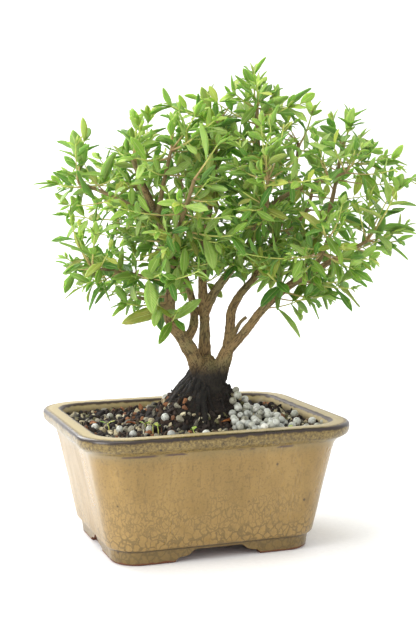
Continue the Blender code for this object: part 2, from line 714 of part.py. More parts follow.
def main():
    clear_scene()
    parts = new_collection("serissa_bonsai")
    guides = new_collection("guides", shown=False)
    whole = bpy.data.objects.new("whole", None)
    turned = bpy.data.objects.new("tree_frame", None)
    for empty in (whole, turned):
        bpy.context.scene.collection.objects.link(empty)
    turned.parent = whole
    turned.rotation_euler.z = TREE_TURN
    make_pot(parts, whole)
    make_drain_mesh(-1, "drain_mesh_left", parts, whole)
    make_drain_mesh(1, "drain_mesh_right", parts, whole)
    soil = make_soil(parts, whole)
    make_pellets(soil, parts, whole)
    tree = make_tree(parts, turned)
    room = Room()
    twigs = place_twigs(tree, room, guides)
    planned = [(index, twig, place_leaves(index, route, room)) for index, route, twig in twigs]
    for index, twig, leaves in planned:
        make_shoot(index, twig, leaves, parts, turned)
    centre_on_footprint(parts, whole)
    print("leaves", sum(len(leaves) for _, _, leaves in planned), "shoots", len(planned))
    print("footprint shift", [round(value / MM, 2) for value in whole.location])


main()
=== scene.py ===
# %% [markdown]
# # A serissa bonsai in its glazed pot
#
# A serissa is a small-leaved shrub that growers train as a tree. This one has three main stems that
# leave a mound of old roots, a rounded crown of opposite, lance-shaped leaves, and a press-moulded
# stoneware pot with a runny ochre glaze.
#
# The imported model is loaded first. It gives the sizes: everything made here either gives one of its
# nodes a finish or replaces a node in the same place with a finer piece.

# %% Loading the frame
import json
import math
import random

import bmesh
import bpy
from mathutils import Matrix, Vector, noise
from mathutils.bvhtree import BVHTree
from mathutils.kdtree import KDTree

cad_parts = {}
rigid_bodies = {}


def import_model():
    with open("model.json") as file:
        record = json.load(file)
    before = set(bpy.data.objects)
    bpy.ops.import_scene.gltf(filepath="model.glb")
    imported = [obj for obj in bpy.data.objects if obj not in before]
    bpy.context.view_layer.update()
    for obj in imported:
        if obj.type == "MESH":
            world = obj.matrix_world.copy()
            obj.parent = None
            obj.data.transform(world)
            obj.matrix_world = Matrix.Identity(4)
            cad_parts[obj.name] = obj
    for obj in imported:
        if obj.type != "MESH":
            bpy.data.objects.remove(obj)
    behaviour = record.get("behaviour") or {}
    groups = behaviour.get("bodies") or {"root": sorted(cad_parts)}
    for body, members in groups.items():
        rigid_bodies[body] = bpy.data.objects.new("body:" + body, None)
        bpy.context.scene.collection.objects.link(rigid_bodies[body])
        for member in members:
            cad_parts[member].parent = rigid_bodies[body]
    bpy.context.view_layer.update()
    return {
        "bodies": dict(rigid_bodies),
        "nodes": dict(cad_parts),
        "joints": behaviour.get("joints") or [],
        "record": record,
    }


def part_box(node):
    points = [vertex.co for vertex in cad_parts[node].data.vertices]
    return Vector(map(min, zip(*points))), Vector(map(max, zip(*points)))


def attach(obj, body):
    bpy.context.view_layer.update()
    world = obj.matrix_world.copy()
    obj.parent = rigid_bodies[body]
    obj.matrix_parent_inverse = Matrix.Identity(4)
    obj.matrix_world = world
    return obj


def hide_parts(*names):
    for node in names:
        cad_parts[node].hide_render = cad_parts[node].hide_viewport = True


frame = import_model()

MM = 0.001
NODES = frame["nodes"]

# %% [markdown]
# ## Two frames
#
# The pot is square to the world, with its long side along X. The tree is drawn in a frame of its own,
# turned so that x runs to the viewer's right and y away from the viewer. Its lengths are millimetres,
# from the middle of the pot's foot plane, so a branch can be described the way a grower sees it.

# %% The pot's and the tree's frames
TREE_TURN = math.radians(-19.8)
UP = Vector((0, 0, 1))
pot_low, pot_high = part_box("pot")
POT_CENTRE = Vector(((pot_low[0] + pot_high[0]) / 2, (pot_low[1] + pot_high[1]) / 2, 0))
POT_TO_WORLD = Matrix.Translation(POT_CENTRE) @ Matrix.Scale(MM, 4)
TREE_TO_WORLD = Matrix.Translation(POT_CENTRE) @ Matrix.Rotation(TREE_TURN, 4, "Z") @ Matrix.Scale(MM, 4)


def in_world(x, y, z=0.0):
    """A point of the tree's frame as a point of the world."""
    return TREE_TO_WORLD @ Vector((x, y, z))


print("pot centre", [round(value, 4) for value in POT_CENTRE])

# %% [markdown]
# ## Colours and shader nodes
#
# Colours are given as sRGB hex values. Shaders calculate in linear light, so one function
# turns them. Another adds a node with its settings and links, and a finish is a base colour with
# others laid over it, each through a mask.

# %% Helpers for materials


def hex_colour(text):
    """An sRGB hex colour such as B0905A, as linear RGBA."""
    values = [int(text[i:i + 2], 16) / 255 for i in (0, 2, 4)]
    return (*[v / 12.92 if v <= 0.04045 else ((v + 0.055) / 1.055) ** 2.4 for v in values], 1.0)


def feed(tree, node, values):
    """Sets a node's properties and inputs: an output is linked, and a colour input takes a hex text."""
    for key, value in values.items():
        if isinstance(key, str) and hasattr(node, key):
            setattr(node, key, value)
        elif isinstance(value, bpy.types.NodeSocket):
            tree.links.new(value, node.inputs[key])
        elif node.inputs[key].type == "RGBA":
            node.inputs[key].default_value = hex_colour(value)
        else:
            node.inputs[key].default_value = value


def add(tree, kind, values, output=None):
    """Adds a node with its settings and links, and returns it or one of its outputs."""
    node = tree.nodes.new(kind)
    feed(tree, node, values)
    return node if output is None else node.outputs[output]


def ramp(tree, factor, stops, interpolation="LINEAR"):
    """A colour ramp through (position, hex) stops."""
    node = add(tree, "ShaderNodeValToRGB", {"Fac": factor})
    node.color_ramp.interpolation = interpolation
    elements = node.color_ramp.elements
    while len(elements) < len(stops):
        elements.new(0.5)
    for element, (position, text) in zip(elements, stops):
        element.position = position
        element.color = hex_colour(text)
    return node.outputs["Color"]


def band(tree, value, low, high, out_low=0.0, out_high=1.0):
    """Maps low..high smoothly to out_low..out_high, clamped."""
    return add(tree, "ShaderNodeMapRange",
               {"interpolation_type": "SMOOTHSTEP", 0: value, 1: low, 2: high, 3: out_low, 4: out_high}, 0)


def off(tree, value, centre):
    """How far a value is from a centre, on either side."""
    gap = add(tree, "ShaderNodeMath", {"operation": "SUBTRACT", 0: value, 1: centre}, 0)
    return add(tree, "ShaderNodeMath", {"operation": "ABSOLUTE", 0: gap}, 0)


def overlay(tree, colour, *coats):
    """Lays coats of (mask, hex or output) over a colour, one after the other."""
    for mask, upper in coats:
        colour = add(tree, "ShaderNodeMix", {"data_type": "RGBA", 0: mask, 6: colour, 7: upper}, 2)
    return colour


def new_material(name):
    """A material, its tree, its Principled shader and the piece's Object coordinates."""
    made = bpy.data.materials.new(name)
    made.use_nodes = True
    tree = made.node_tree
    return made, tree, tree.nodes["Principled BSDF"], add(tree, "ShaderNodeTexCoord", {}, "Object")


print("helpers ready")

# %% [markdown]
# ## Meshes
#
# Most pieces start as a bmesh in the pot's or the tree's millimetres. One function turns such a bmesh
# into an object that sits unturned at the origin, because the patterns of its material are measured
# from there. Another reads an object with its modifiers as a plain mesh.

# %% Helpers for meshes


def stand(name, data):
    """An object with this data, linked into the scene."""
    made = bpy.data.objects.new(name, data)
    bpy.context.scene.collection.objects.link(made)
    return made


def object_from(bm, name, matrix=Matrix.Identity(4)):
    """A plain mesh object from bm, moved to the world by matrix."""
    bm.transform(matrix)
    mesh = bpy.data.meshes.new(name)
    bm.to_mesh(mesh)
    bm.free()
    return stand(name, mesh)


def merged(mesh):
    """A bmesh of a mesh whose loose triangles are joined at their corners."""
    bm = bmesh.new()
    bm.from_mesh(mesh)
    bmesh.ops.remove_doubles(bm, verts=bm.verts, dist=1e-6)
    return bm


def baked(obj):
    """The object's evaluated mesh as its own plain mesh, with no modifiers left."""
    bpy.context.view_layer.update()
    mesh = bpy.data.meshes.new_from_object(obj.evaluated_get(bpy.context.evaluated_depsgraph_get()))
    if obj.type == "MESH":
        obj.modifiers.clear()
        obj.data = mesh
        return obj
    made = stand(obj.name + "_mesh", mesh)
    bpy.data.objects.remove(obj)
    return made


def boolean(obj, operation, **operand):
    """Joins an operand to an object or cuts it out."""
    modifier = obj.modifiers.new("boolean", "BOOLEAN")
    for key, value in {"operation": operation, "solver": "EXACT", **operand}.items():
        setattr(modifier, key, value)
    baked(obj)


def give(obj, finish):
    """Gives an object one material in place of any it has."""
    obj.data.materials.clear()
    obj.data.materials.append(finish)


def finish_piece(obj, name, replaced=()):
    """Names a piece, lets it ride on the object's one body, and hides the nodes it replaces."""
    obj.name = name
    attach(obj, "root")
    if replaced:
        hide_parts(*replaced)
    print(f"{name}: {len(obj.data.polygons)} faces")


def route_curve(name, routes, matrix):
    """A curve object along routes of x, y, z and radius in millimetres."""
    curve = bpy.data.curves.new(name, "CURVE")
    curve.dimensions = "3D"
    for route in routes:
        spline = curve.splines.new("POLY")
        spline.points.add(len(route) - 1)
        for point, (x, y, z, radius) in zip(spline.points, route):
            point.co = (*(matrix @ Vector((x, y, z))), 1.0)
            point.radius = radius * MM
    return stand(name, curve)


print("mesh helpers ready")

# %% [markdown]
# ## Laying out the tree
#
# The tree is laid out before anything is drawn: first the routes of its stems, then the places of its
# shoots and leaves. Each stem is a list of points with a radius, in the tree's millimetres.

# %% Routes of the stems
STEMS = {
    "left_stem": [(6, 0, 80, 4.6), (2, -2, 99, 4.2), (-4, -5, 111, 3.8), (-11, -7, 122, 3.4), (-12, -8, 132, 3.0),
                  (-10, -9, 146, 2.7), (-12, -12, 161, 2.4), (-19, -16, 180, 2.0), (-26, -20, 197, 1.6),
                  (-31, -22, 210, 1.1)],
    "left_fork": [(-4, -5, 110, 2.6), (1, 0, 119, 2.5), (0, 12, 132, 2.1), (-7, 22, 151, 1.8), (-19, 32, 173, 1.4),
                  (-33, 38, 195, 1.0)],
    "middle_stem": [(8, 5, 80, 4.2), (7, 6, 104, 3.3), (7, 7, 121, 2.9), (6, 8, 137, 2.6), (6, 11, 156, 2.2),
                    (9, 11, 177, 1.9), (12, 8, 199, 1.5), (13, 5, 218, 1.2), (16, 3, 232, 0.9)],
    "middle_fork": [(7, 7, 124, 2.4), (12, 6, 136, 2.5), (22, 4, 150, 2.3), (32, 2, 164, 2.1), (38, 0, 181, 1.8),
                    (38, -2, 200, 1.5), (36, -4, 219, 1.1), (35, -5, 237, 0.8)],
    "right_stem": [(12, 0, 80, 4.8), (17, -1, 98, 4.2), (20, -2, 107, 3.5), (21, 0, 116, 2.8), (22, 2, 127, 2.5),
                   (27, 5, 136, 2.2), (35, 10, 145, 2.0), (44, 16, 161, 1.7), (52, 22, 181, 1.4), (58, 25, 202, 1.1),
                   (60, 26, 220, 0.9)],
    "right_limb": [(19, -2, 104, 2.6), (29, -6, 116, 2.5), (39, -8, 129, 2.3), (52, -10, 141, 2.1),
                   (65, -12, 149, 1.8), (80, -14, 158, 1.4), (94, -16, 166, 1.0)],
    "right_riser": [(52, -10, 140, 1.6), (64, -2, 156, 1.4), (74, 6, 176, 1.3), (80, 10, 199, 1.1),
                    (83, 12, 218, 0.8)],
    "cut_stub": [(22, -2, 111, 1.4), (26, -3, 120, 1.1), (30, -3, 124, 1.0)],
    "low_left": [(-10, -9, 142, 1.6), (-22, -17, 146, 1.3), (-38, -23, 150, 1.1), (-52, -26, 152, 0.8)],
    "bare_twig": [(-11, -8, 129, 1.2), (-21, -12, 133, 1.0), (-34, -14, 137, 0.8)],
    "far_left": [(-19, -16, 179, 1.5), (-32, -19, 185, 1.2), (-47, -18, 192, 1.0), (-60, -16, 197, 0.8)],
    "rear_left": [(6, 10, 153, 1.7), (3, 32, 168, 1.4), (-3, 50, 186, 1.2), (-9, 60, 204, 0.9)],
    "rear_right": [(43, 15, 158, 1.6), (55, 36, 168, 1.3), (67, 52, 182, 1.1), (72, 60, 198, 0.9)],
    "rear_top": [(32, 2, 163, 1.6), (33, 30, 178, 1.3), (32, 48, 198, 1.1), (30, 56, 217, 0.9)],
    "front_left": [(-12, -12, 158, 1.6), (-8, -32, 169, 1.3), (-2, -48, 185, 1.1), (2, -55, 198, 0.9)],
    "front_right": [(32, 2, 164, 1.6), (36, -20, 173, 1.3), (39, -40, 185, 1.1), (39, -50, 198, 0.9)],
    "right_reach": [(38, 0, 180, 1.6), (50, -14, 190, 1.3), (64, -22, 196, 1.1), (81, -26, 202, 0.8)],
    "front_low_right": [(64, -12, 148, 1.5), (68, -30, 158, 1.2), (70, -44, 168, 0.9)],
    "upper_left": [(-18, -16, 178, 1.4), (-14, -32, 197, 1.2), (-10, -38, 213, 0.9)],
}
LEAFLESS = ("cut_stub", "bare_twig")
print(len(STEMS), "stems and branches")

# %% [markdown]
# ## Where the leafy shoots grow
#
# Serissa leaves stand in opposite pairs, each pair at right angles to the last. The shoots are laid out
# by rule: their tips are spread evenly over the crown's surface, each grows from the nearest branch,
# and every leaf tries a few seeded angles until it clears its neighbours. The rule is the same as the
# one behind the CAD nodes, so that the fine leaves stand where those stand.

# %% The crown's outline
CROWN_CENTRE = Vector((21.0, 2.0, 188.0))
CROWN_DEPTH = 82.0
# The crown's reach in the viewer's plane: an angle from the viewer's right in degrees, and millimetres.
CROWN_REACH = [
    (0, 108), (8, 112), (30, 90), (50, 78), (65, 68), (79, 82), (90, 70), (115, 70), (132, 76), (147, 84),
    (166, 110), (183, 109), (204, 107), (222, 98), (237, 86), (249, 80), (265, 56), (280, 52), (290, 64),
    (305, 80), (318, 90), (335, 104), (350, 108), (360, 108),
]
LOWEST_AIM = -0.72  # shoots don't aim further down than this
LOWEST_ANCHOR = 120  # height below which the stems are bare
SHOOTS = 48
TURN = math.pi * (3 - math.sqrt(5))  # the golden angle, which spreads points evenly on a ball
GAP, TWIG_RADIUS, SHOOT_SHORTEST = 0.35, 0.75, 20.0
PAIR_SPACING = (0.0, 8.0, 17.0, 27.0)  # leaf pairs, measured back from the shoot's tip
LEAF_LENGTH, LEAF_SLENDERNESS, LEAF_THICKNESS = (16.0, 25.0), (0.27, 0.34), 0.85


def crown_reach(aim):
    """Reach of the crown in the viewer's plane, towards aim."""
    angle = math.degrees(math.atan2(aim.z, aim.x)) % 360
    for (low, near), (high, far) in zip(CROWN_REACH, CROWN_REACH[1:]):
        if low <= angle <= high:
            return near + (far - near) * (angle - low) / (high - low)
    return CROWN_REACH[0][1]


def aim_height(index, count):
    """How far up the shoot of this index aims: 1 at the crown's top, LOWEST_AIM at its foot."""
    return 1 - (1 - LOWEST_AIM) * (index + 0.5) / count


def crown_point(up, spin, side_inset, back_inset, depth=1.0):
    """The point on the crown's surface, or at a share of its depth, in a direction from its centre."""
    flat = math.sqrt(1 - up * up)
    aim = Vector((flat * math.cos(spin), flat * math.sin(spin), up))
    in_plane = math.hypot(aim.x, aim.z)
    reach = (crown_reach(aim) - side_inset) * in_plane + (CROWN_DEPTH - back_inset) * (1 - in_plane)
    return CROWN_CENTRE + reach * depth * aim


def nearest_wood(tip, shortest=SHOOT_SHORTEST):
    """The point on the branches that best carries a shoot with this tip."""
    points = [
        Vector(a[:3]).lerp(Vector(b[:3]), part)
        for name, route in STEMS.items() if name not in LEAFLESS
        for a, b in zip(route[1:], route[2:]) for part in (0.25, 0.5, 0.75, 1.0)
    ]
    high = [point for point in points if point.z > LOWEST_ANCHOR]
    return min(high, key=lambda point: abs((tip - point).length - shortest) + 1.5 * max(0.0, (point - tip).z))


shoot_tips = [crown_point(aim_height(index, SHOOTS), index * TURN, LEAF_LENGTH[0] * 0.8, LEAF_LENGTH[0])
              for index in range(SHOOTS)]
print("first shoot's tip", [round(value, 1) for value in shoot_tips[0]])

# %% Simple solids that stand for wood, twigs and leaves while places are chosen
TRUNK = (9.0, 1.0)  # where the trunk stands, in the tree's plan
FLARE = [(0, 0, 52, 8.0), (0, 0, 66, 10.0), (0, 0, 84, 10.0), (0, 0, 91, 9.2), (0, 0.5, 97, 6.6), (0.5, 1, 102, 2.4)]
BLADE = ((0.30, 0.92, 1.0), (0.68, 0.88, 0.9))  # a simple leaf's stations: share of length, width, thickness


def tube_shape(name, route, rounding, joined=()):
    """A closed tube along a route, grown together with others, as points and faces in millimetres."""
    tubes = []
    for each, bevel in ((route, rounding), *((other, 1) for other in joined)):
        guide = route_curve(name, [each], Matrix.Scale(MM, 4))
        guide.data.bevel_depth = 1.0
        guide.data.bevel_resolution = bevel
        guide.data.use_fill_caps = True
        made = baked(guide)
        bm = merged(made.data)
        bmesh.ops.recalc_face_normals(bm, faces=bm.faces)
        bm.to_mesh(made.data)
        bm.free()
        tubes.append(made)
    if joined:
        branches = bpy.data.collections.new(name)
        for made in tubes[1:]:
            branches.objects.link(made)
        boolean(tubes[0], "UNION", operand_type="COLLECTION", collection=branches)
    points = [vertex.co / MM for vertex in tubes[0].data.vertices]
    faces = [list(face.vertices) for face in tubes[0].data.polygons]
    for made in tubes:
        bpy.data.objects.remove(made)
    return points, faces


def plain_blade(place, length, width, thickness, arch, fold):
    """The simple closed blade that stands for a leaf, as points and faces."""
    bm = bmesh.new()
    spans = len(BLADE) + 1
    for vertex in bmesh.ops.create_uvsphere(bm, u_segments=4, v_segments=spans, radius=1.0)["verts"]:
        station = round(spans * math.acos(max(-1.0, min(1.0, vertex.co.z))) / math.pi)
        if station in (0, spans):
            share, half, thick, side, face = station / spans, 0.0, 0.0, 0, 0
        else:
            share, half, thick = BLADE[station - 1]
            side, face = (round(value) for value in vertex.co.to_2d().normalized())
        sink = -arch * length * share * share + abs(side) * fold * width * 0.5 * half
        vertex.co = place @ Vector((length * share, side * half * width / 2, sink + face * thick * thickness / 2))
    points = [vertex.co.copy() for vertex in bm.verts]
    faces = [[vertex.index for vertex in face.verts] for face in bm.faces]
    bm.free()
    return points, faces


class Room:
    """What already stands in the crown, for finding a free place for the next leaf or twig."""

    def __init__(self):
        self.pieces = []

    def measured(self, points, faces):
        middle = sum(points, Vector()) / len(points)
        return BVHTree.FromPolygons(points, faces), middle, max((point - middle).length for point in points)

    def add(self, owner, points, faces):
        self.pieces.append((owner, *self.measured(points, faces)))

    def free(self, owner, points, faces):
        """Whether a shape stays clear of every piece with another owner."""
        tree, middle, size = self.measured(points, faces)
        return not any(
            other != owner and (centre - middle).length <= size + reach and tree.overlap(standing)
            for other, standing, centre, reach in self.pieces
        )


print("layout helpers ready")

# %% Laying out the twigs


def twig_route(start, tip, bow):
    """Four points of a shallow arc from start to tip, thinner at the tip."""
    middle = start.lerp(tip, 0.5) + bow
    route = []
    for step in range(4):
        share = step / 3
        point = start * (1 - share) ** 2 + middle * 2 * share * (1 - share) + tip * share ** 2
        route.append((*point, TWIG_RADIUS * (1 - 0.35 * share)))
    return route


def seat(anchor, tip, surface):
    """Where a twig that leaves the wood at anchor starts: the rim of its end stands just off the bark."""
    direction = (tip - anchor).normalized()
    hit = surface.ray_cast(anchor + direction * 12.0, -direction)[0] or anchor
    out = direction.orthogonal().normalized() * TWIG_RADIUS
    rim = [Matrix.Rotation(step * math.pi / 4, 3, direction) @ out for step in range(8)]
    steps = [0.1 * step for step in range(60)]
    clear = (
        step for step in steps if min(surface.find_nearest(hit + direction * step + point)[3] for point in rim) > GAP
    )
    return hit + direction * next(clear, steps[-1])


def place_twigs(room):
    """A route for every shoot's twig, clear of the wood and of each other."""
    draw = random.Random(7)
    wood = tube_shape("plain_wood", [(TRUNK[0] + x, TRUNK[1] + y, z, r) for x, y, z, r in FLARE], 6, STEMS.values())
    surface = BVHTree.FromPolygons(*wood)
    room.add("wood", *wood)
    twigs = []
    for index, tip in enumerate(shoot_tips):
        anchor = nearest_wood(tip)
        for attempt in range(40):
            spread = 0.6 * attempt
            moved = tip + Vector([draw.uniform(-spread, spread) for _ in range(3)])
            start = seat(anchor, moved, surface)
            bow = Vector([draw.uniform(-0.06, 0.06) for _ in range(2)] + [-0.10]) * (tip - anchor).length
            route = twig_route(start, moved, bow)
            thin = tube_shape("thin", route, 0)
            fat = tube_shape("fat", [(x, y, z, radius + 0.3) for x, y, z, radius in route[1:]], 0)
            if room.free(index, *fat) and room.free(index, *thin):
                room.add(index, *thin)
                twigs.append((index, anchor, route))
                break
    return twigs


room = Room()
twigs = place_twigs(room)
print(len(twigs), "twigs")

# %% Laying out the leaves
LEAF_TRIES, LEAF_MARGIN, LEAF_ROOT = 14, 0.45, 2.2  # the root is what sinks into the twig


def leaf_place(base, along, facing, roll):
    """The frame of a leaf: x along the blade, z out of its upper face."""
    x = along.normalized()
    y = facing.cross(x).normalized()
    frame = Matrix((x, y, x.cross(y))).transposed().to_4x4()
    return Matrix.Translation(base) @ frame @ Matrix.Rotation(roll, 4, "X")


def leaf_shape(place, length, width, arch, fold, margin):
    """A leaf without its root, grown by a margin."""
    outset = place @ Matrix.Translation((LEAF_ROOT, 0, 0))
    length, width, thickness = length - LEAF_ROOT + margin, width + 2 * margin, LEAF_THICKNESS + 2 * margin
    return plain_blade(outset, length, width, thickness, arch, fold)


class Twig:
    """A twig's points, for finding where its pairs of leaves sit."""

    def __init__(self, route):
        self.points = [Vector(point[:3]) for point in route]
        self.length = sum((b - a).length for a, b in zip(self.points, self.points[1:]))

    def pair(self, back):
        """The place of a pair, back from the tip, the twig's direction there and a side of it."""
        position = (1 - back / self.length) * 3
        span = min(int(position), 2)
        near, far = self.points[span:span + 2]
        axis = (far - near).normalized()
        return near.lerp(far, position - span), axis, axis.cross(UP + 0.01 * axis.orthogonal()).normalized()


def leaf_heading(axis, side, angle, lean):
    """A leaf's direction, leaning out of the twig's, and where its upper face looks."""
    along = axis * math.cos(lean) + (Matrix.Rotation(angle, 3, axis) @ side) * math.sin(lean)
    facing = axis * 0.7 + UP * 0.8
    return along, facing + side if facing.cross(along).length < 0.2 else facing


def place_leaves(index, route, room):
    """Opposite pairs of leaves along a twig, each pair at right angles to the last, and one at its tip."""
    twig, leaves = Twig(route), []
    turn = random.Random(1000 + index).uniform(0, math.pi)
    for number, back in enumerate(PAIR_SPACING):
        if back > twig.length - 5:
            break
        base, axis, side = twig.pair(back)
        for mate in range(3 if number == 0 else 2):
            draw = random.Random(100 * index + 10 * number + mate)
            grown = LEAF_LENGTH[0] + (LEAF_LENGTH[1] - LEAF_LENGTH[0]) * min(1.0, back / 20)
            for attempt in range(LEAF_TRIES):
                wide = 0.10 + 0.05 * attempt
                angle = turn + number * math.pi / 2 + mate * math.pi + draw.uniform(-wide, wide)
                lean = math.radians(38 + 10 * number) + draw.uniform(-wide, wide)
                along, facing = leaf_heading(axis, side, angle, 0.25 if mate == 2 else lean)
                size = grown * draw.uniform(0.82, 1.12) * (1 - 0.035 * attempt)
                width = size * draw.uniform(*LEAF_SLENDERNESS)
                arch, fold = draw.uniform(0.02, 0.16), draw.uniform(0.10, 0.35)
                place = leaf_place(base - axis * 0.9 - along * 0.5, along, facing, draw.uniform(-0.45, 0.45))
                if room.free(index, *leaf_shape(place, size, width, arch, fold, LEAF_MARGIN)):
                    room.add((index, number, mate), *leaf_shape(place, size, width, arch, fold, 0.0))
                    leaves.append((place, size, width, arch, number))
                    break
    return leaves


main_leaves = [leaf for index, _, route in twigs for leaf in place_leaves(index, route, room)]
print(len(main_leaves), "main leaves")

# %% [markdown]
# ## Filling the crown
#
# The CAD shoots are a sparse stand-in. A real crown has many more short side shoots with smaller
# leaves, and tufts of tiny new leaves at their tips. They follow the same rule with other numbers,
# between the main shoots and inside the same outline. A leaf that brushes another does no harm here.

# %% Short side shoots
fill_draw = random.Random(31)
FILL_SHOOTS, HEART_SHOOTS, FILL_INSET = 232, 120, 12
DEPTHS_ABOVE, DEPTHS_ROUND = (1.0, 0.8, 0.64, 0.5), (1.0, 0.94, 0.87, 0.79, 0.7, 0.6, 0.48)
SHORT = (0.12, 5.2, 7.0, 13.0, 5)  # bow, gap between pairs, smallest and largest leaf, pairs
LONG = (0.10, 7.5, 9.0, 21.0, 4)
# Tips of the long new shoots that stand out of the crown.
LONG_SHOOTS = [(35, -2, 250), (13, -6, 240), (87, 0, 233), (110, -8, 196), (108, -14, 170), (-58, -8, 208),
               (-66, -14, 185), (-52, -26, 153), (-60, -12, 141), (-8, -28, 128), (62, -16, 136), (86, -20, 141),
               (60, 4, 240), (-30, -6, 226), (98, -4, 214), (-20, -30, 136)]
fill_routes, fill_leaves, tufts = [], [], []


def side_shoot(tip, reach, bow, gap, small, large, pairs):
    """A thin shoot from the nearest wood to a tip, with pairs of leaves that are longer towards its base."""
    anchor = nearest_wood(tip, reach)
    sway = Vector([fill_draw.uniform(-bow, bow), fill_draw.uniform(-bow, bow), -bow]) * (tip - anchor).length
    route = [(x, y, z, radius * 0.62) for x, y, z, radius in twig_route(anchor, tip, sway)]
    twig = Twig(route)
    turn = fill_draw.uniform(0, math.pi)
    back, number = 1.5, 0
    while back < twig.length * 0.85 and number < pairs:
        base, axis, side = twig.pair(back)
        for mate in range(2):
            angle = turn + number * math.pi / 2 + mate * math.pi + fill_draw.uniform(-0.4, 0.4)
            lean = math.radians(42 + 10 * number) + fill_draw.uniform(-0.35, 0.35)
            along, facing = leaf_heading(axis, side, angle, lean)
            size = (small + (large - small) * min(1.0, back / 14)) * fill_draw.uniform(0.65, 1.25)
            place = leaf_place(base, along, facing, fill_draw.uniform(-0.8, 0.8))
            width = size * fill_draw.uniform(0.28, 0.43) * (0.82 if size > 14 else 1.0)
            fill_leaves.append((place, size, width, fill_draw.uniform(0.0, 0.2), number))
        back += gap * fill_draw.uniform(0.8, 1.25)
        number += 1
    fill_routes.append(route)
    tufts.append(twig.points[-2:])


for index in range(FILL_SHOOTS):
    up = aim_height(index, FILL_SHOOTS)
    spin = index * TURN + 1.0 + fill_draw.uniform(-0.1, 0.1)
    depth = fill_draw.choice(DEPTHS_ROUND if up < 0.5 else DEPTHS_ABOVE)
    side_shoot(crown_point(up, spin, FILL_INSET, FILL_INSET, depth), 16.0, *SHORT)
# The heart of the crown, round its thick branches, is the densest part.
for index in range(HEART_SHOOTS):
    aim = Vector([fill_draw.gauss(0, 1) for _ in range(3)]).normalized() * fill_draw.uniform(0.6, 1.0)
    side_shoot(Vector((18 + 62 * aim.x, 30 * aim.y, 176 + 30 * aim.z)), 14.0, *SHORT)
for tip in LONG_SHOOTS:
    side_shoot(Vector(tip), 26.0, *LONG)
tufts += [[Vector(point[:3]) for point in route[-2:]] for _, _, route in twigs]
tuft_leaves = []
for before, tip in tufts:
    axis = (tip - before).normalized()
    for number in range(fill_draw.choice((2, 3, 4))):
        out = Matrix.Rotation(fill_draw.uniform(0, 2 * math.pi), 3, axis) @ axis.orthogonal().normalized()
        lean = fill_draw.uniform(0.15, 0.6)
        along = axis * math.cos(lean) + out * math.sin(lean)
        size = fill_draw.uniform(3.5, 8.0)
        place = leaf_place(tip - axis * 0.5, along, axis * 0.6 + UP * 0.8 + out * 0.2, fill_draw.uniform(-0.5, 0.5))
        tuft_leaves.append((place, size, size * fill_draw.uniform(0.26, 0.38), fill_draw.uniform(0.0, 0.15), -1))
print(len(fill_leaves), "small leaves and", len(tuft_leaves), "in tufts")

# %% [markdown]
# ## The pot's shape
#
# The pot is a rounded rectangle in plan, swept along one profile: a foot ring, a small ledge, a wall
# that leans out, a thick overhanging lip, and the inner wall. It could be a cube with bevels, but a
# loft through rounded rectangles keeps each inset and height a number that can be read. The feet are
# what is left when two cloud-shaped prisms are cut through the ring.

# %% The pot's shape
RIM_LENGTH, RIM_WIDTH, POT_HEIGHT = 150.0, 126.0, 70.0
CORNER_STEPS = 14
# Inset from the rim's outline, height, corner radius.
PROFILE = [
    (30.5, 8.0, 6.5), (29.6, 6.0, 7.4), (29.0, 0.5, 8.0), (28.6, 0.0, 8.4), (20.7, 0.0, 13.6), (20.0, 0.6, 14.0),
    (19.6, 4.0, 14.2), (19.2, 7.0, 14.5), (18.7, 7.9, 15.0), (17.6, 8.3, 15.8), (16.8, 9.2, 16.2),
    (16.2, 12.0, 16.5), (15.3, 16.5, 17.0), (14.2, 22.0, 17.5), (12.7, 30.0, 18.4), (11.0, 38.0, 19.5),
    (9.3, 46.0, 20.5), (7.6, 54.0, 21.5), (6.5, 58.2, 22.0), (5.2, 60.5, 22.4), (3.5, 61.9, 22.9),
    (1.9, 62.9, 23.3), (0.8, 64.0, 23.7), (0.2, 65.4, 24.0), (0.0, 67.0, 24.0), (0.15, 68.8, 23.9),
    (0.8, 69.7, 23.6), (1.9, POT_HEIGHT, 23.0), (5.0, POT_HEIGHT, 20.5), (8.4, POT_HEIGHT, 17.9),
    (9.6, 69.6, 17.2), (10.3, 68.6, 16.8), (10.9, 66.0, 16.5), (11.6, 62.0, 16.2), (14.6, 46.0, 15.0),
    (20.0, 20.0, 12.5), (23.5, 12.5, 10.0),
]
ALONG = [0.0]  # the distance along the profile to each of its points, in decimetres
for (inset, height, _), (next_inset, next_height, _) in zip(PROFILE, PROFILE[1:]):
    ALONG.append(ALONG[-1] + math.hypot(next_inset - inset, next_height - height) / 100)
FOOT_V, LEDGE_V, LIP_FOOT_V, LIP_OUTER_V, LIP_INNER_V = (ALONG[i] for i in (5, 8, 19, 26, 30))


def rounded_rectangle(inset, radius):
    """Points of the rim's outline moved in by inset, anticlockwise."""
    points = []
    for sign_x, sign_y, first in ((1, 1, 0), (-1, 1, 90), (-1, -1, 180), (1, -1, 270)):
        centre = Vector((sign_x * (RIM_LENGTH / 2 - inset - radius), sign_y * (RIM_WIDTH / 2 - inset - radius)))
        for step in range(CORNER_STEPS + 1):
            angle = math.radians(first + 90 * step / CORNER_STEPS)
            points.append(centre + radius * Vector((math.cos(angle), math.sin(angle))))
    return points


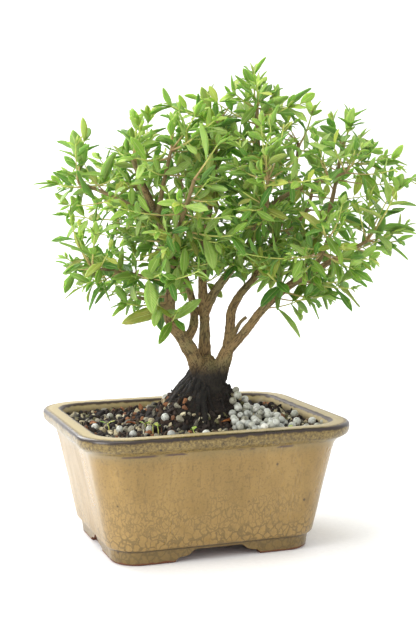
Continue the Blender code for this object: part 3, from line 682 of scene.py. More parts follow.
bm = bmesh.new()
uv = bm.loops.layers.uv.new("profile")
rings = [[bm.verts.new((*point, height)) for point in rounded_rectangle(inset, radius)]
         for inset, height, radius in PROFILE]
for near, far, near_v, far_v in zip(rings, rings[1:], ALONG, ALONG[1:]):
    count = len(near)
    for i in range(count):
        j = (i + 1) % count
        face = bm.faces.new((near[i], near[j], far[j], far[i]))
        for loop, v in zip(face.loops, (near_v, near_v, far_v, far_v)):
            loop[uv].uv = (i / count, v)
bm.faces.new(reversed(rings[0]))
bm.faces.new(rings[-1])
bmesh.ops.recalc_face_normals(bm, faces=bm.faces)
pot = object_from(bm, "glazed_pot", POT_TO_WORLD)
print("profile length", round(ALONG[-1] * 100, 1), "mm")

# %% Cutting the feet and the drain holes
FOOT_LENGTH, FOOT_RING_INSET = 31.0, 20.0
DRAIN_RADIUS, DRAIN_OFFSET = 6, 30
# Half of the cut's outline, from the foot inwards: distance from the foot and height.
FOOT_CUT = [(0.0, -2.0), (0.15, 0.5), (0.6, 1.3), (1.4, 2.1), (2.6, 2.6), (4.0, 2.8), (5.4, 3.0), (6.8, 3.3),
            (8.0, 3.9), (9.0, 4.8), (9.8, 5.6), (10.8, 6.1), (11.6, 6.3)]


def cut(obj, bm):
    """Cuts a closed bmesh, in the pot's millimetres, out of an object."""
    bmesh.ops.recalc_face_normals(bm, faces=bm.faces)
    cutter = object_from(bm, "cutter", POT_TO_WORLD)
    boolean(obj, "DIFFERENCE", object=cutter)
    bpy.data.objects.remove(cutter)


for side, turn in ((RIM_LENGTH, 0), (RIM_WIDTH, math.pi / 2)):
    half = side / 2 - FOOT_RING_INSET - FOOT_LENGTH
    outline = [(half - along, z) for along, z in FOOT_CUT] + [(along - half, z) for along, z in reversed(FOOT_CUT)]
    bm = bmesh.new()
    near, far = ([bm.verts.new((x, y, z)) for x, z in outline] for y in (-90, 90))
    for i in range(len(outline)):
        j = (i + 1) % len(outline)
        bm.faces.new((near[i], near[j], far[j], far[i]))
    bm.faces.new(near)
    bm.faces.new(reversed(far))
    bmesh.ops.rotate(bm, matrix=Matrix.Rotation(turn, 3, "Z"), verts=bm.verts)
    cut(pot, bm)
for side in (-1, 1):
    bm = bmesh.new()
    bmesh.ops.create_cone(bm, cap_ends=True, segments=40, radius1=DRAIN_RADIUS, radius2=DRAIN_RADIUS, depth=40)
    bmesh.ops.translate(bm, vec=(side * DRAIN_OFFSET, 0, 12), verts=bm.verts)
    cut(pot, bm)
print("pot cut:", len(pot.data.polygons), "faces")

# %% [markdown]
# ## The glaze
#
# The pot is buff stoneware, dipped in an iron and rutile glaze and fired upright. The glaze runs: it
# is thin and breaks dark on the lip's arrises, streaks down the wall, and pools near the bottom in
# cells with olive edges. The foot was wiped, so bare reddish clay shows there.
#
# The streaks are noise squeezed along Z, the cells are the distance to a Voronoi edge, and the breaks
# follow the profile's UV map, because they sit on an edge of the shape and not at a height.

# %% The glaze
glaze, tree, shader, place = new_material("rutile_glaze_on_stoneware")
profile_v = add(tree, "ShaderNodeSeparateXYZ", {0: add(tree, "ShaderNodeUVMap", {"uv_map": "profile"}, "UV")}, "Y")
height = add(tree, "ShaderNodeSeparateXYZ", {0: place}, "Z")
runny = add(tree, "ShaderNodeMapping", {"Scale": (1.0, 1.0, 0.16), "Vector": place}, "Vector")
# Clouds of glaze thickness about 18 mm across, runs about 1.2 mm wide, and a fine mottle of 0.7 mm.
clouds = add(tree, "ShaderNodeTexNoise", {"Scale": 55.0, "Detail": 4.0, "Roughness": 0.6, "Vector": runny}, "Fac")
runs = add(tree, "ShaderNodeTexNoise", {"Scale": 520.0, "Detail": 3.0, "Roughness": 0.7, "Vector": runny}, "Fac")
mottle = add(tree, "ShaderNodeTexNoise", {"Scale": 900.0, "Vector": place}, "Fac")
body = overlay(
    tree, ramp(tree, clouds, [(0.30, "836830"), (0.50, "917339"), (0.72, "9F8045")]),
    (band(tree, runs, 0.52, 0.72, 0.0, 0.6), "6B5327"),
    (band(tree, mottle, 0.50, 0.72, 0.0, 0.45), "5F4C24"),
    (band(tree, height, 0.054, 0.062, 0.0, 0.4), "77704C"),  # thin and greyish under the lip
)
# Pooled drops with olive edges: tall and 2 mm wide on the wall, round and 4 mm wide near the bottom.
warp = add(tree, "ShaderNodeTexNoise", {"Scale": 260.0, "Detail": 3.0, "Vector": place}, "Color")
shifted = add(tree, "ShaderNodeVectorMath", {"operation": "MULTIPLY_ADD", 0: warp, 1: (0.005,) * 3, 2: place}, 0)
patches = add(tree, "ShaderNodeTexNoise", {"Scale": 60.0, "Vector": place}, "Fac")
for scale, squash, top, bottom, low_patch, strength in ((480.0, 0.40, 0.052, 0.024, 0.34, 0.42),
                                                        (255.0, 0.80, 0.026, 0.012, 0.30, 0.55)):
    drops = add(tree, "ShaderNodeMapping", {"Scale": (1.0, 1.0, squash), "Vector": shifted}, "Vector")
    cells = add(tree, "ShaderNodeTexVoronoi", {"feature": "DISTANCE_TO_EDGE", "Scale": scale, "Vector": drops}, 0)
    pooled = add(tree, "ShaderNodeMath", {"operation": "MULTIPLY", 0: band(tree, height, bottom, top, 1.0, 0.0),
                                          1: band(tree, patches, low_patch, low_patch + 0.16)}, 0)
    pool_edge = add(tree, "ShaderNodeMath",
                    {"operation": "MULTIPLY", 0: pooled, 1: band(tree, cells, 0.02, 0.16, 1.0, 0.0)}, 0)
    body = overlay(tree, body, (band(tree, pooled, 0.0, 1.0, 0.0, 0.5), "A08147"),
                   (band(tree, pool_edge, 0.0, 1.0, 0.0, strength), "4C3E1A"))
print("glaze so far:", len(tree.nodes), "nodes")

# %% [markdown]
# The lip is thin-glazed, olive-brown with dark speckles, and its flat top is painted paler as painted
# light. The break lines on its two arrises, the bare foot, and a scatter of iron specks finish the
# glaze. Its gloss is a clear coat over a slightly rougher body, which gives a sharp highlight on the
# round corners and a soft one on the wall.

# %% The glaze's lip, breaks, foot and gloss
speckle = add(tree, "ShaderNodeTexNoise", {"Scale": 700.0, "Detail": 4.0, "Roughness": 0.8, "Vector": place}, "Fac")
lip_colour = ramp(tree, speckle, [(0.36, "33270F"), (0.48, "6C5826"), (0.66, "947F48")])
# In places an iron line has broken out where the lip meets the wall.
broken = add(tree, "ShaderNodeMath",
             {"operation": "MULTIPLY", 0: band(tree, off(tree, profile_v, LIP_FOOT_V), 0.004, 0.012, 0.85, 0.0),
              1: band(tree, patches, 0.5, 0.56)}, 0)
wobble = add(tree, "ShaderNodeTexNoise", {"Scale": 220.0, "Detail": 3.0, "Vector": place}, "Fac")
wobbly_v = add(tree, "ShaderNodeMath", {"operation": "MULTIPLY_ADD", 0: wobble, 1: 0.022, 2: profile_v}, 0)
foot = band(tree, wobbly_v, FOOT_V + 0.012, FOOT_V + 0.02, 1.0, 0.0)
specks = add(tree, "ShaderNodeTexVoronoi", {"Scale": 75.0, "Vector": place}, 0)
# Iron streaks 0.5 mm wide and up to 20 mm long.
tall = add(tree, "ShaderNodeMapping", {"Scale": (1.0, 1.0, 0.03), "Vector": place}, "Vector")
streaks = add(tree, "ShaderNodeTexVoronoi", {"Scale": 45.0, "Vector": tall}, 0)
body = overlay(
    tree, body,
    (band(tree, profile_v, LIP_FOOT_V, LIP_FOOT_V + 0.02), lip_colour),
    # The lip's flat top is painted paler cream: painted light where the light falls on it.
    (band(tree, profile_v, LIP_OUTER_V + 0.01, LIP_OUTER_V + 0.03, 0.0, 0.7), "BAA878"),
    (broken, "3A2228"),
    (band(tree, profile_v, LIP_INNER_V + 0.02, LIP_INNER_V + 0.06), "4A3B22"),
    (band(tree, off(tree, wobbly_v, LIP_OUTER_V + 0.005), 0.007, 0.0182, 0.95, 0.0), "1F100E"),
    (band(tree, off(tree, wobbly_v, LIP_INNER_V + 0.011), 0.007, 0.0182, 0.95, 0.0), "2B1814"),
    (band(tree, off(tree, profile_v, LEDGE_V), 0.004, 0.014, 0.85, 0.0), "2A1C10"),
    (band(tree, profile_v, LEDGE_V - 0.004, LEDGE_V + 0.004, 0.55, 0.0), "5C4B22"),
    (foot, "6E3F26"),
    (band(tree, specks, 0.035, 0.075, 0.8, 0.0), "2B1A12"),
    (band(tree, streaks, 0.012, 0.03, 0.7, 0.0), "3A2420"),
)
rough = band(tree, clouds, 0.3, 0.7, 0.38, 0.26)
for mask, rougher in ((band(tree, profile_v, LIP_OUTER_V + 0.004, LIP_OUTER_V + 0.016), 0.6), (foot, 0.8)):
    rough = add(tree, "ShaderNodeMix", {"data_type": "FLOAT", 0: mask, 2: rough, 3: rougher}, 0)
relief = add(tree, "ShaderNodeMath", {"operation": "MULTIPLY_ADD", 0: pool_edge, 1: 0.5, 2: clouds}, 0)
bump = add(tree, "ShaderNodeBump", {"Strength": 0.25, "Distance": 0.0006, "Height": relief}, "Normal")
feed(tree, shader, {"Base Color": body, "Roughness": rough, "Normal": bump, "IOR": 1.52, "Coat Weight": 0.15,
                    "Coat Roughness": 0.07})
give(pot, glaze)
pot.data.shade_smooth()
pot.data.set_sharp_from_angle(angle=math.radians(50))
finish_piece(pot, "glazed_pot", ["pot"])

# %% [markdown]
# ## Geometry Nodes that scatter a set of shapes
#
# Soil grains and leaves repeat a small set of shapes. The first tree strews shapes over a surface:
# Distribute Points picks the places, each instance gets a random shape, turn and size, and a random
# number called grain travels with it for its colour. It ends in Realize Instances, because exported
# models hold plain meshes.

# %% A tree that strews grains over a surface


def new_tree(name, inputs):
    """An empty Geometry Nodes tree with named inputs; returns it and what its inputs give."""
    tree = bpy.data.node_groups.new(name, "GeometryNodeTree")
    tree.interface.new_socket("Geometry", in_out="OUTPUT", socket_type="NodeSocketGeometry")
    for socket, kind in (("Geometry", "Geometry"), *inputs, ("Finish", "Material")):
        tree.interface.new_socket(socket, in_out="INPUT", socket_type="NodeSocket" + kind)
    return tree, add(tree, "NodeGroupInput", {}).outputs


def shapes_on(tree, source, values):
    """Puts the tree's set of shapes on points."""
    shapes = add(tree, "GeometryNodeCollectionInfo",
                 {"Separate Children": True, "Reset Children": True, "Collection": source["Shapes"]}, 0)
    return add(tree, "GeometryNodeInstanceOnPoints", {"Pick Instance": True, "Instance": shapes, **values}, 0)


def marked(tree, geometry, name, value, domain="INSTANCE"):
    """Stores a number with each instance or point, for a material to read."""
    return add(tree, "GeometryNodeStoreNamedAttribute",
               {"domain": domain, "data_type": "FLOAT", "Name": name, "Geometry": geometry, "Value": value}, 0)


def close_tree(tree, source, geometry):
    """Ends a tree: instances become real meshes, with the tree's one finish."""
    plain = add(tree, "GeometryNodeRealizeInstances", {"Geometry": geometry}, 0)
    done = add(tree, "GeometryNodeSetMaterial", {"Geometry": plain, "Material": source["Finish"]}, 0)
    add(tree, "NodeGroupOutput", {"Geometry": done})
    print(tree.name, "has", len(tree.nodes), "nodes")


def run_tree(obj, tree, values):
    """Puts a tree on an object, sets its inputs by identifier, and bakes the result to a plain mesh."""
    modifier = obj.modifiers.new(tree.name, "NODES")
    modifier.node_group = tree
    for item in tree.interface.items_tree:
        if item.in_out == "INPUT" and item.name in values:
            modifier[item.identifier] = values[item.name]
    return baked(obj)


strew, source = new_tree("strew_grains", [("Shapes", "Collection"), ("Density", "Float"), ("Seed", "Int"),
                                          ("Smallest", "Float"), ("Largest", "Float"), ("Spacing", "Float")])
points = add(strew, "GeometryNodeDistributePointsOnFaces",
             {"distribute_method": "POISSON", "Mesh": source["Geometry"], "Distance Min": source["Spacing"],
              "Density Max": source["Density"], "Seed": source["Seed"]}, "Points")
turn = add(strew, "FunctionNodeRandomValue",
           {"data_type": "FLOAT_VECTOR", 0: (0, 0, 0), 1: (6.283,) * 3, "Seed": source["Seed"]}, 0)
size = add(strew, "FunctionNodeRandomValue",
           {"data_type": "FLOAT", 2: source["Smallest"], 3: source["Largest"], "Seed": source["Seed"]}, 1)
placed = shapes_on(strew, source, {"Points": points, "Rotation": turn, "Scale": size})
grain = add(strew, "FunctionNodeRandomValue", {"data_type": "FLOAT", 2: 0.0, 3: 1.0}, 1)
close_tree(strew, source, marked(strew, placed, "grain", grain))

# %% [markdown]
# ## The soil
#
# Bonsai soil is a coarse mix: dark composted bark and peat, bits of fired clay, pale pumice and grey
# grit, 1 to 5 mm across. The CAD solid gives its level and the mound of old roots, and keeps a dark,
# crumbly finish as the ground under the grains. Each grain is a lump of one of seven knocked-about
# shapes. A random number per grain picks its kind, so one material colours them all.

# %% The ground under the grains
peat, tree, shader, place = new_material("damp_peat")
crumbs = add(tree, "ShaderNodeTexNoise", {"Scale": 620.0, "Detail": 6.0, "Roughness": 0.75, "Vector": place}, "Fac")
colour = ramp(tree, crumbs, [(0.35, "0D0A08"), (0.55, "241A12"), (0.75, "3D2E20")])
bump = add(tree, "ShaderNodeBump", {"Strength": 0.9, "Distance": 0.0012, "Height": crumbs}, "Normal")
feed(tree, shader, {"Base Color": colour, "Roughness": 0.92, "Normal": bump})
soil = NODES["soil"]
give(soil, peat)
soil_surface = BVHTree.FromPolygons([soil.matrix_world @ vertex.co for vertex in soil.data.vertices],
                                    [list(face.vertices) for face in soil.data.polygons])
SOIL_LEVEL = 64.5


def ground(point):
    """The soil's surface under a world point."""
    hit = soil_surface.ray_cast(Vector((point.x, point.y, 0.2)), -UP)[0]
    return hit if hit is not None else Vector((point.x, point.y, SOIL_LEVEL * MM))


print("ground at the pot's centre", round(ground(POT_CENTRE).z / MM, 1), "mm")

# %% Shapes of the grains


def lump(name, seed, stretch):
    """A knocked-about stone about 1 m across, to be scaled to millimetres where it is placed."""
    bm = bmesh.new()
    bmesh.ops.create_icosphere(bm, subdivisions=2, radius=0.5)
    for vertex in bm.verts:
        wave = noise.noise(vertex.co * 2.1 + Vector((seed * 7.3, 0, 0)))
        chip = noise.cell(vertex.co * 2.3 + Vector((0, seed * 3.1, 0)))
        vertex.co *= 1 + 0.35 * wave + 0.16 * (chip - 0.5)
        vertex.co = Vector(a * b for a, b in zip(vertex.co, stretch))
    made = object_from(bm, name)
    made.data.shade_smooth()
    made.data.set_sharp_from_angle(angle=math.radians(35))
    return made


def hidden_collection(name, members):
    """A collection of shapes that only the trees use."""
    collection = bpy.data.collections.new(name)
    for member in members:
        collection.objects.link(member)
        bpy.context.scene.collection.objects.unlink(member)
    print(name, "holds", len(members), "shapes of", len(members[0].data.polygons), "faces")
    return collection


GRAIN_STRETCHES = [(1, 0.9, 0.7), (1.2, 0.7, 0.5), (0.9, 0.9, 0.9), (1.5, 0.8, 0.3), (1.1, 0.8, 0.8), (1.7, 0.5, 0.3),
                   (1.0, 1.0, 0.6)]
grain_set = hidden_collection("grain_shapes", [lump(f"lump_{i}", i, each) for i, each in enumerate(GRAIN_STRETCHES)])

# %% The grains' material
grit, tree, shader, place = new_material("bonsai_soil_grains")
kind = add(tree, "ShaderNodeAttribute", {"attribute_name": "grain"}, "Fac")
# Composted bark, brown bark, fired clay, grey grit, pumice, moss-stained stone, cream pumice.
KINDS = [(0.0, "17110C"), (0.22, "2C2018"), (0.42, "4A3828"), (0.53, "7C5236"), (0.58, "A06C46"), (0.61, "7A7566"),
         (0.70, "A09A86"), (0.78, "6A6644"), (0.83, "C0B390"), (0.90, "E0D6B4"), (0.96, "3A2A20")]
pores = add(tree, "ShaderNodeTexNoise", {"Scale": 2200.0, "Detail": 3.0, "Roughness": 0.7, "Vector": place}, "Fac")
colour = overlay(tree, ramp(tree, kind, KINDS, "CONSTANT"), (band(tree, pores, 0.42, 0.68, 0.0, 0.55), "17110B"))
bump = add(tree, "ShaderNodeBump", {"Strength": 0.6, "Distance": 0.0003, "Height": pores}, "Normal")
feed(tree, shader, {"Base Color": colour, "Roughness": 0.85, "Normal": bump})
print("grain kinds:", len(KINDS))

# %% Strewing the grains
trunk_spot = in_world(*TRUNK, 80)
COARSE = {"Density": 260000.0, "Seed": 3, "Smallest": 0.0024, "Largest": 0.0052, "Spacing": 0.0023, "Finish": grit}
DARK = {"Density": 120000.0, "Seed": 8, "Smallest": 0.0012, "Largest": 0.0030, "Spacing": 0.0014, "Finish": peat}
# Coarse mix on the open soil and dark crumbs on the mound, each in a ring round the trunk, in millimetres.
for name, nearest, furthest, values in (("soil_grains", 17, math.inf, COARSE), ("mound_crumbs", 9, 30, DARK)):
    bm = merged(soil.data)
    unwanted = []
    for face in bm.faces:
        middle = face.calc_center_median()
        out = (middle - trunk_spot).xy.length / MM
        if not (face.normal.z > 0.25 and middle.z > 0.060 and nearest < out < furthest):
            unwanted.append(face)
    bmesh.ops.delete(bm, geom=unwanted, context="FACES")
    strewn = object_from(bm, name)
    run_tree(strewn, strew, {"Shapes": grain_set, **values})
    finish_piece(strewn, name)

# %% [markdown]
# ## Fertiliser pellets
#
# Slow-release fertiliser comes as round grey pellets with a waxy shell, 3 to 5 mm across. A spoonful
# lies in a heap against the mound and a few have rolled away. Each one is dropped onto the soil and
# lifted until it touches nothing, which piles them as real ones pile.

# %% Dropping the pellets
pellet_draw = random.Random(21)
HEAP, HEAP_WIDTH, HEAP_LENGTH, HEAP_TRIES = (35, -20), 14, 25, 900
STRAYS = [(-22, -34), (-38, -30), (8, -42), (-10, -46), (60, -30), (66, -8), (-52, -20), (70, 6), (-14, -24),
          (-30, -44), (58, 14), (-46, 4), (54, -22), (57, -14), (62, -20), (68, -18), (53, -34), (72, -8), (64, -38),
          (58, -4), (75, -22), (51, -10), (-15, 6)]
pellets = []


def drop_pellet(x, y, radius, layers):
    """Rests one pellet over a plan point of the tree's frame, in millimetres, if there is room."""
    centre = ground(in_world(x, y)) / MM + Vector((0, 0, radius * 0.9))
    floor = centre.z
    for other, size in pellets:
        apart = 0.97 * (size + radius)
        across = (other - centre).xy.length
        if across < apart:
            centre.z = max(centre.z, other.z + math.sqrt(apart * apart - across * across))
    if centre.z - floor < layers * radius:
        pellets.append((centre, radius))


for _ in range(HEAP_TRIES):
    angle, out = pellet_draw.uniform(0, 2 * math.pi), math.sqrt(pellet_draw.random())
    drop_pellet(HEAP[0] + HEAP_WIDTH * out * math.cos(angle), HEAP[1] + HEAP_LENGTH * out * math.sin(angle),
                pellet_draw.uniform(1.7, 2.3), 1.9)
for x, y in STRAYS:
    drop_pellet(x, y, pellet_draw.uniform(1.8, 2.4), 1.0)
bm = bmesh.new()
tint_layer = bm.verts.layers.float.new("grain")
for centre, radius in pellets:
    made = bmesh.ops.create_uvsphere(bm, u_segments=12, v_segments=8, radius=radius)["verts"]
    tint = pellet_draw.random()
    spin = Matrix.Rotation(pellet_draw.uniform(0, 3), 3, "X") @ Matrix.Rotation(pellet_draw.uniform(0, 3), 3, "Y")
    squat = pellet_draw.uniform(0.86, 1.0)
    for vertex in made:
        vertex.co = spin @ Vector((vertex.co.x, vertex.co.y, vertex.co.z * squat))
        vertex.co *= 1 + 0.05 * noise.noise(vertex.co * 0.8 + centre)
        vertex.co += centre
        vertex[tint_layer] = tint
pellet_heap = object_from(bm, "fertiliser", Matrix.Scale(MM, 4))
pellet_heap.data.shade_smooth()
print(len(pellets), "pellets")

# %% The pellets' waxy shell
shell, tree, shader, place = new_material("waxed_fertiliser_shell")
kind = add(tree, "ShaderNodeAttribute", {"attribute_name": "grain"}, "Fac")
stain = add(tree, "ShaderNodeTexNoise", {"Scale": 700.0, "Detail": 4.0, "Vector": place}, "Fac")
colour = ramp(tree, kind, [(0.0, "8C8A78"), (0.3, "B5B6A9"), (0.6, "CFD1C8"), (0.8, "9EA19A"), (1.0, "DEDDD2")])
colour = overlay(tree, colour, (band(tree, stain, 0.48, 0.70, 0.0, 0.65), "4A4230"))
bump = add(tree, "ShaderNodeBump", {"Strength": 0.25, "Distance": 0.0003, "Height": stain}, "Normal")
feed(tree, shader, {"Base Color": colour, "Roughness": 0.3, "IOR": 1.45, "Normal": bump})
give(pellet_heap, shell)
finish_piece(pellet_heap, "fertiliser", ["fertiliser_pellets"])

# %% [markdown]
# ## The woody frame
#
# The stems follow the routes that were laid out first. A skin modifier could thicken a skeleton, but
# routes with a stated radius keep the taper that a grower prunes for.
#
# The sweeping tree smooths each route with a Catmull-Rom spline, swells and thins it a little with
# noise, and sweeps a circle along it. It stores how far along the route each point is, which later
# turns a twig from brown at its base to green at its tip.

# %% A tree that sweeps a round section along routes
sweep, source = new_tree("sweep_stems", [("Sides", "Int"), ("Step", "Float"), ("Swelling", "Float")])
soft = add(sweep, "GeometryNodeCurveSplineType", {"spline_type": "CATMULL_ROM", "Curve": source["Geometry"]}, 0)
even = add(sweep, "GeometryNodeResampleCurve", {"mode": "LENGTH", "Curve": soft, "Length": source["Step"]}, 0)
swell = add(sweep, "ShaderNodeTexNoise", {"Scale": 160.0}, "Fac")
centred = add(sweep, "ShaderNodeMath", {"operation": "SUBTRACT", 0: swell, 1: 0.5}, 0)
factor = add(sweep, "ShaderNodeMath", {"operation": "MULTIPLY_ADD", 0: centred, 1: source["Swelling"], 2: 1.0}, 0)
radius = add(sweep, "GeometryNodeInputRadius", {}, 0)
grown = add(sweep, "ShaderNodeMath", {"operation": "MULTIPLY", 0: radius, 1: factor}, 0)
share = add(sweep, "GeometryNodeSplineParameter", {}, "Factor")
circle = add(sweep, "GeometryNodeCurvePrimitiveCircle", {"Radius": 1.0, "Resolution": source["Sides"]}, 0)
skin = add(sweep, "GeometryNodeCurveToMesh",
           {"Fill Caps": True, "Curve": marked(sweep, even, "along", share, "POINT"), "Profile Curve": circle,
            "Scale": grown}, 0)
close_tree(sweep, source, skin)


def swept(name, routes, sides, step, swelling, finish):
    """A mesh object swept along routes in the tree's millimetres."""
    values = {"Sides": sides, "Step": step * MM, "Swelling": swelling, "Finish": finish}
    return run_tree(route_curve(name, routes, TREE_TO_WORLD), sweep, values)


# %% [markdown]
# Old serissa bark is tan, with a shallow net of long furrows, and darker and flakier near the soil.
# The furrows run along each stem, so every point of the wood learns where it is round its own stem and
# how far along it: a noise over those numbers, squeezed along the stem, carves and colours the bark.

# %% The bark's colours
bark, tree, shader, place = new_material("furrowed_serissa_bark")
bark_at = add(tree, "ShaderNodeAttribute", {"attribute_name": "bark_place"}, "Vector")
furrow, girth = (add(tree, "ShaderNodeAttribute", {"attribute_name": name}, "Fac") for name in ("furrow", "girth"))
height = add(tree, "ShaderNodeSeparateXYZ", {0: place}, "Z")
fibres = add(tree, "ShaderNodeTexNoise", {"Scale": 2.3, "Detail": 5.0, "Roughness": 0.75, "Vector": bark_at}, "Fac")
# Green-grey algae in patches about 20 mm long.
algae = add(tree, "ShaderNodeTexNoise", {"Scale": 60.0, "Detail": 3.0, "Vector": place}, "Fac")
colour = overlay(
    tree, ramp(tree, fibres, [(0.34, "3E2E1C"), (0.45, "7A6240"), (0.56, "A08556"), (0.68, "C6AC7C")]),
    (band(tree, algae, 0.45, 0.65, 0.0, 0.55), "7C7C52"),
    (band(tree, furrow, 0.15, 0.7, 0.0, 0.7), "34271A"),
    (band(tree, girth, 0.9, 1.9, 0.75, 0.0), "7A6B45"),  # young wood
    (band(tree, height, 0.091, 0.102, 0.96, 0.0), "0F0B08"),  # the damp foot
)
bump = add(tree, "ShaderNodeBump", {"Strength": 0.5, "Distance": 0.0004, "Height": fibres}, "Normal")
feed(tree, shader, {"Base Color": colour, "Roughness": 0.82, "Normal": bump})
print("bark material has", len(tree.nodes), "nodes")

# %% The wood, grown together
WOOD_FLARE = [(9, 1, 52, 8.0), (9, 1, 66, 9.8), (9, 1, 84, 9.8), (9, 1.2, 91, 9.0), (9, 1.5, 97, 6.4),
              (9.5, 2, 102, 2.2)]
wood_routes = [WOOD_FLARE, *STEMS.values()]
wood = swept("stems", wood_routes, 14, 1.2, 0.35, bark)
grow = wood.modifiers.new("grow_together", "REMESH")
grow.mode = "VOXEL"
grow.voxel_size = 0.5 * MM
baked(wood)
print("wood:", len(wood.data.vertices), "points")

# %% Furrows in the bark
route_points = []  # place, direction, distance along the stem and radius, every 1.5 mm
for route in wood_routes:
    length = 0.0
    for (*start, start_radius), (*end, end_radius) in zip(route, route[1:]):
        start, end = Vector(start), Vector(end)
        steps = max(2, int((end - start).length / 1.5))
        heading = (TREE_TO_WORLD.to_3x3() @ (end - start)).normalized()
        for part in (step / steps for step in range(steps)):
            route_points.append((TREE_TO_WORLD @ start.lerp(end, part), heading, length + part * (end - start).length,
                                 start_radius + part * (end_radius - start_radius)))
        length += (end - start).length
near_route = KDTree(len(route_points))
for i, (spot, *_) in enumerate(route_points):
    near_route.insert(spot, i)
near_route.balance()
bark_place, furrow_mark, girth_mark = (wood.data.attributes.new(name, kind, "POINT").data for name, kind in (
    ("bark_place", "FLOAT_VECTOR"), ("furrow", "FLOAT"), ("girth", "FLOAT")))
# The normals are copied first, because reading one after a point has moved works them all out again.
outward = [vertex.normal.copy() for vertex in wood.data.vertices]
for i, vertex in enumerate(wood.data.vertices):
    spot, heading, length, girth = route_points[near_route.find(vertex.co)[1]]
    across = (vertex.co - spot) / MM
    onward = across.dot(heading)
    local = across - onward * heading + heading * (length + onward) * 0.16
    furrow = max(0.0, 1 - abs(noise.noise(local * 1.25)) * 2.4 - 0.40) * 1.5
    bark_place[i].vector = local
    furrow_mark[i].value = min(1.0, furrow)
    girth_mark[i].value = girth
    carve = min(1.0, girth / 4.0) * (0.40 * noise.noise(local * 2.6) - 0.50 * furrow + 0.15)
    vertex.co += outward[i] * MM * carve
give(wood, bark)
wood.data.shade_smooth()
finish_piece(wood, "wood", ["trunk_and_branches"])

# %% [markdown]
# ## Surface roots
#
# The mound is a plate of old roots with the soil washed off: dark, wiry strands that leave the trunk
# and dive into the soil. Each is a route that follows the ground a little above it, so they are swept
# by the same tree as the stems.

# %% Surface roots
root_draw = random.Random(5)
ROOT_STEPS, ROOT_START = 9, 7.5
THIN_ROOTS, THICK_ROOTS = 22, 9


def root_route(angle, reach, girth):
    """A strand from the trunk's foot down the mound, at an angle from the viewer's right."""
    route = []
    bend = root_draw.uniform(-0.5, 0.5)
    for step in range(ROOT_STEPS + 1):
        part = step / ROOT_STEPS
        heading = angle + bend * part + 0.18 * math.sin(5 * part + angle)
        out = ROOT_START + (reach - ROOT_START) * part
        x, y = TRUNK[0] + out * math.cos(heading), TRUNK[1] + out * math.sin(heading)
        lift = girth * (0.9 - 1.5 * part) + (2.5 if step == 0 else 0)
        route.append((x, y, ground(in_world(x, y)).z / MM + lift, girth * (1 - 0.55 * part)))
    return route


roots = [root_route(2 * math.pi * i / THIN_ROOTS + root_draw.uniform(-0.12, 0.12), root_draw.uniform(18, 34),
                    root_draw.uniform(0.55, 1.5)) for i in range(THIN_ROOTS)]
# On the viewer's left the old roots are as thick as pencils and hold the mound up.
for i in range(THICK_ROOTS):
    heading, girth = math.radians(158 + 13 * i), root_draw.uniform(1.6, 2.7)
    route = []
    for out, z, thin in ((5, 96, 1), (9, 92.5, 1), (14, 87.5, 0.95), (19, 81, 0.85), (25, 74, 0.75), (33, 62, 0.4)):
        sway = heading + root_draw.uniform(-0.13, 0.13)
        level = z - 0.9 * i + root_draw.uniform(-0.8, 0.8)
        route.append((TRUNK[0] + out * math.cos(sway), TRUNK[1] + out * math.sin(sway), level, girth * thin))
    roots.append(route)
root_bark, tree, shader, place = new_material("damp_root_bark")
scales = add(tree, "ShaderNodeTexNoise", {"Scale": 620.0, "Detail": 6.0, "Roughness": 0.8, "Vector": place}, "Fac")
colour = ramp(tree, scales, [(0.35, "060504"), (0.54, "16110C"), (0.64, "3E2F1E"), (0.72, "7A6240")])
bump = add(tree, "ShaderNodeBump", {"Strength": 1.0, "Distance": 0.0012, "Height": scales}, "Normal")
feed(tree, shader, {"Base Color": colour, "Roughness": 0.8, "Normal": bump})
strands = swept("surface_roots", roots, 9, 0.9, 1.3, root_bark)
strands.data.shade_smooth()
finish_piece(strands, "surface_roots")

# %% Twigs
twig_bark, tree, shader, place = new_material("young_serissa_twig")
along = add(tree, "ShaderNodeAttribute", {"attribute_name": "along"}, "Fac")
specks = add(tree, "ShaderNodeTexNoise", {"Scale": 1500.0, "Detail": 3.0, "Vector": place}, "Fac")
colour = ramp(tree, along, [(0.0, "94794F"), (0.3, "B3A064"), (0.55, "B8B860"), (1.0, "BCCF66")])
colour = overlay(tree, colour, (band(tree, specks, 0.5, 0.75, 0.0, 0.5), "5A4A30"))
feed(tree, shader, {"Base Color": colour, "Roughness": 0.65})
main_routes = [[(*anchor, TWIG_RADIUS)] + [(x, y, z, radius * 0.8) for x, y, z, radius in route]
               for _, anchor, route in twigs]
twig_piece = swept("twigs", main_routes + fill_routes, 6, 4.0, 0.3, twig_bark)
twig_piece.data.shade_smooth()
finish_piece(twig_piece, "twigs")

# %% [markdown]
# ## A leaf
#
# A serissa leaf is a pointed ellipse on a short stalk, folded a little along a pale midrib. It could be
# a flat card with a picture, but it turns edge-on in every view of a crown, so each leaf is a thin
# closed solid of a few dozen faces. Eight of them, arched and waved differently, are enough for the
# eye, since the width, length and turn differ at every place. The upper face lies at u 0 to 1 of its
# UV map, and the lower face at u 1 to 2, so one material can tell them apart.

# %% Eight leaf shapes
# Share of the length and of the half width, from the stalk to the point.
LEAF_STATIONS = [(0.0, 0.07), (0.09, 0.10), (0.22, 0.60), (0.42, 0.96), (0.62, 1.0), (0.81, 0.74), (0.93, 0.38)]
# The section's corners: side, and the upper or the lower face. The first four spans are the upper face.
SECTION = [(-1, 0), (-0.5, 1), (0, 1), (0.5, 1), (1, 0), (0.5, -1), (0, -1), (-0.5, -1)]
ARCHES, WAVES = (0.02, 0.07, 0.12, 0.17), (0.4, 1.3)
MEAN_SLENDERNESS = 0.40


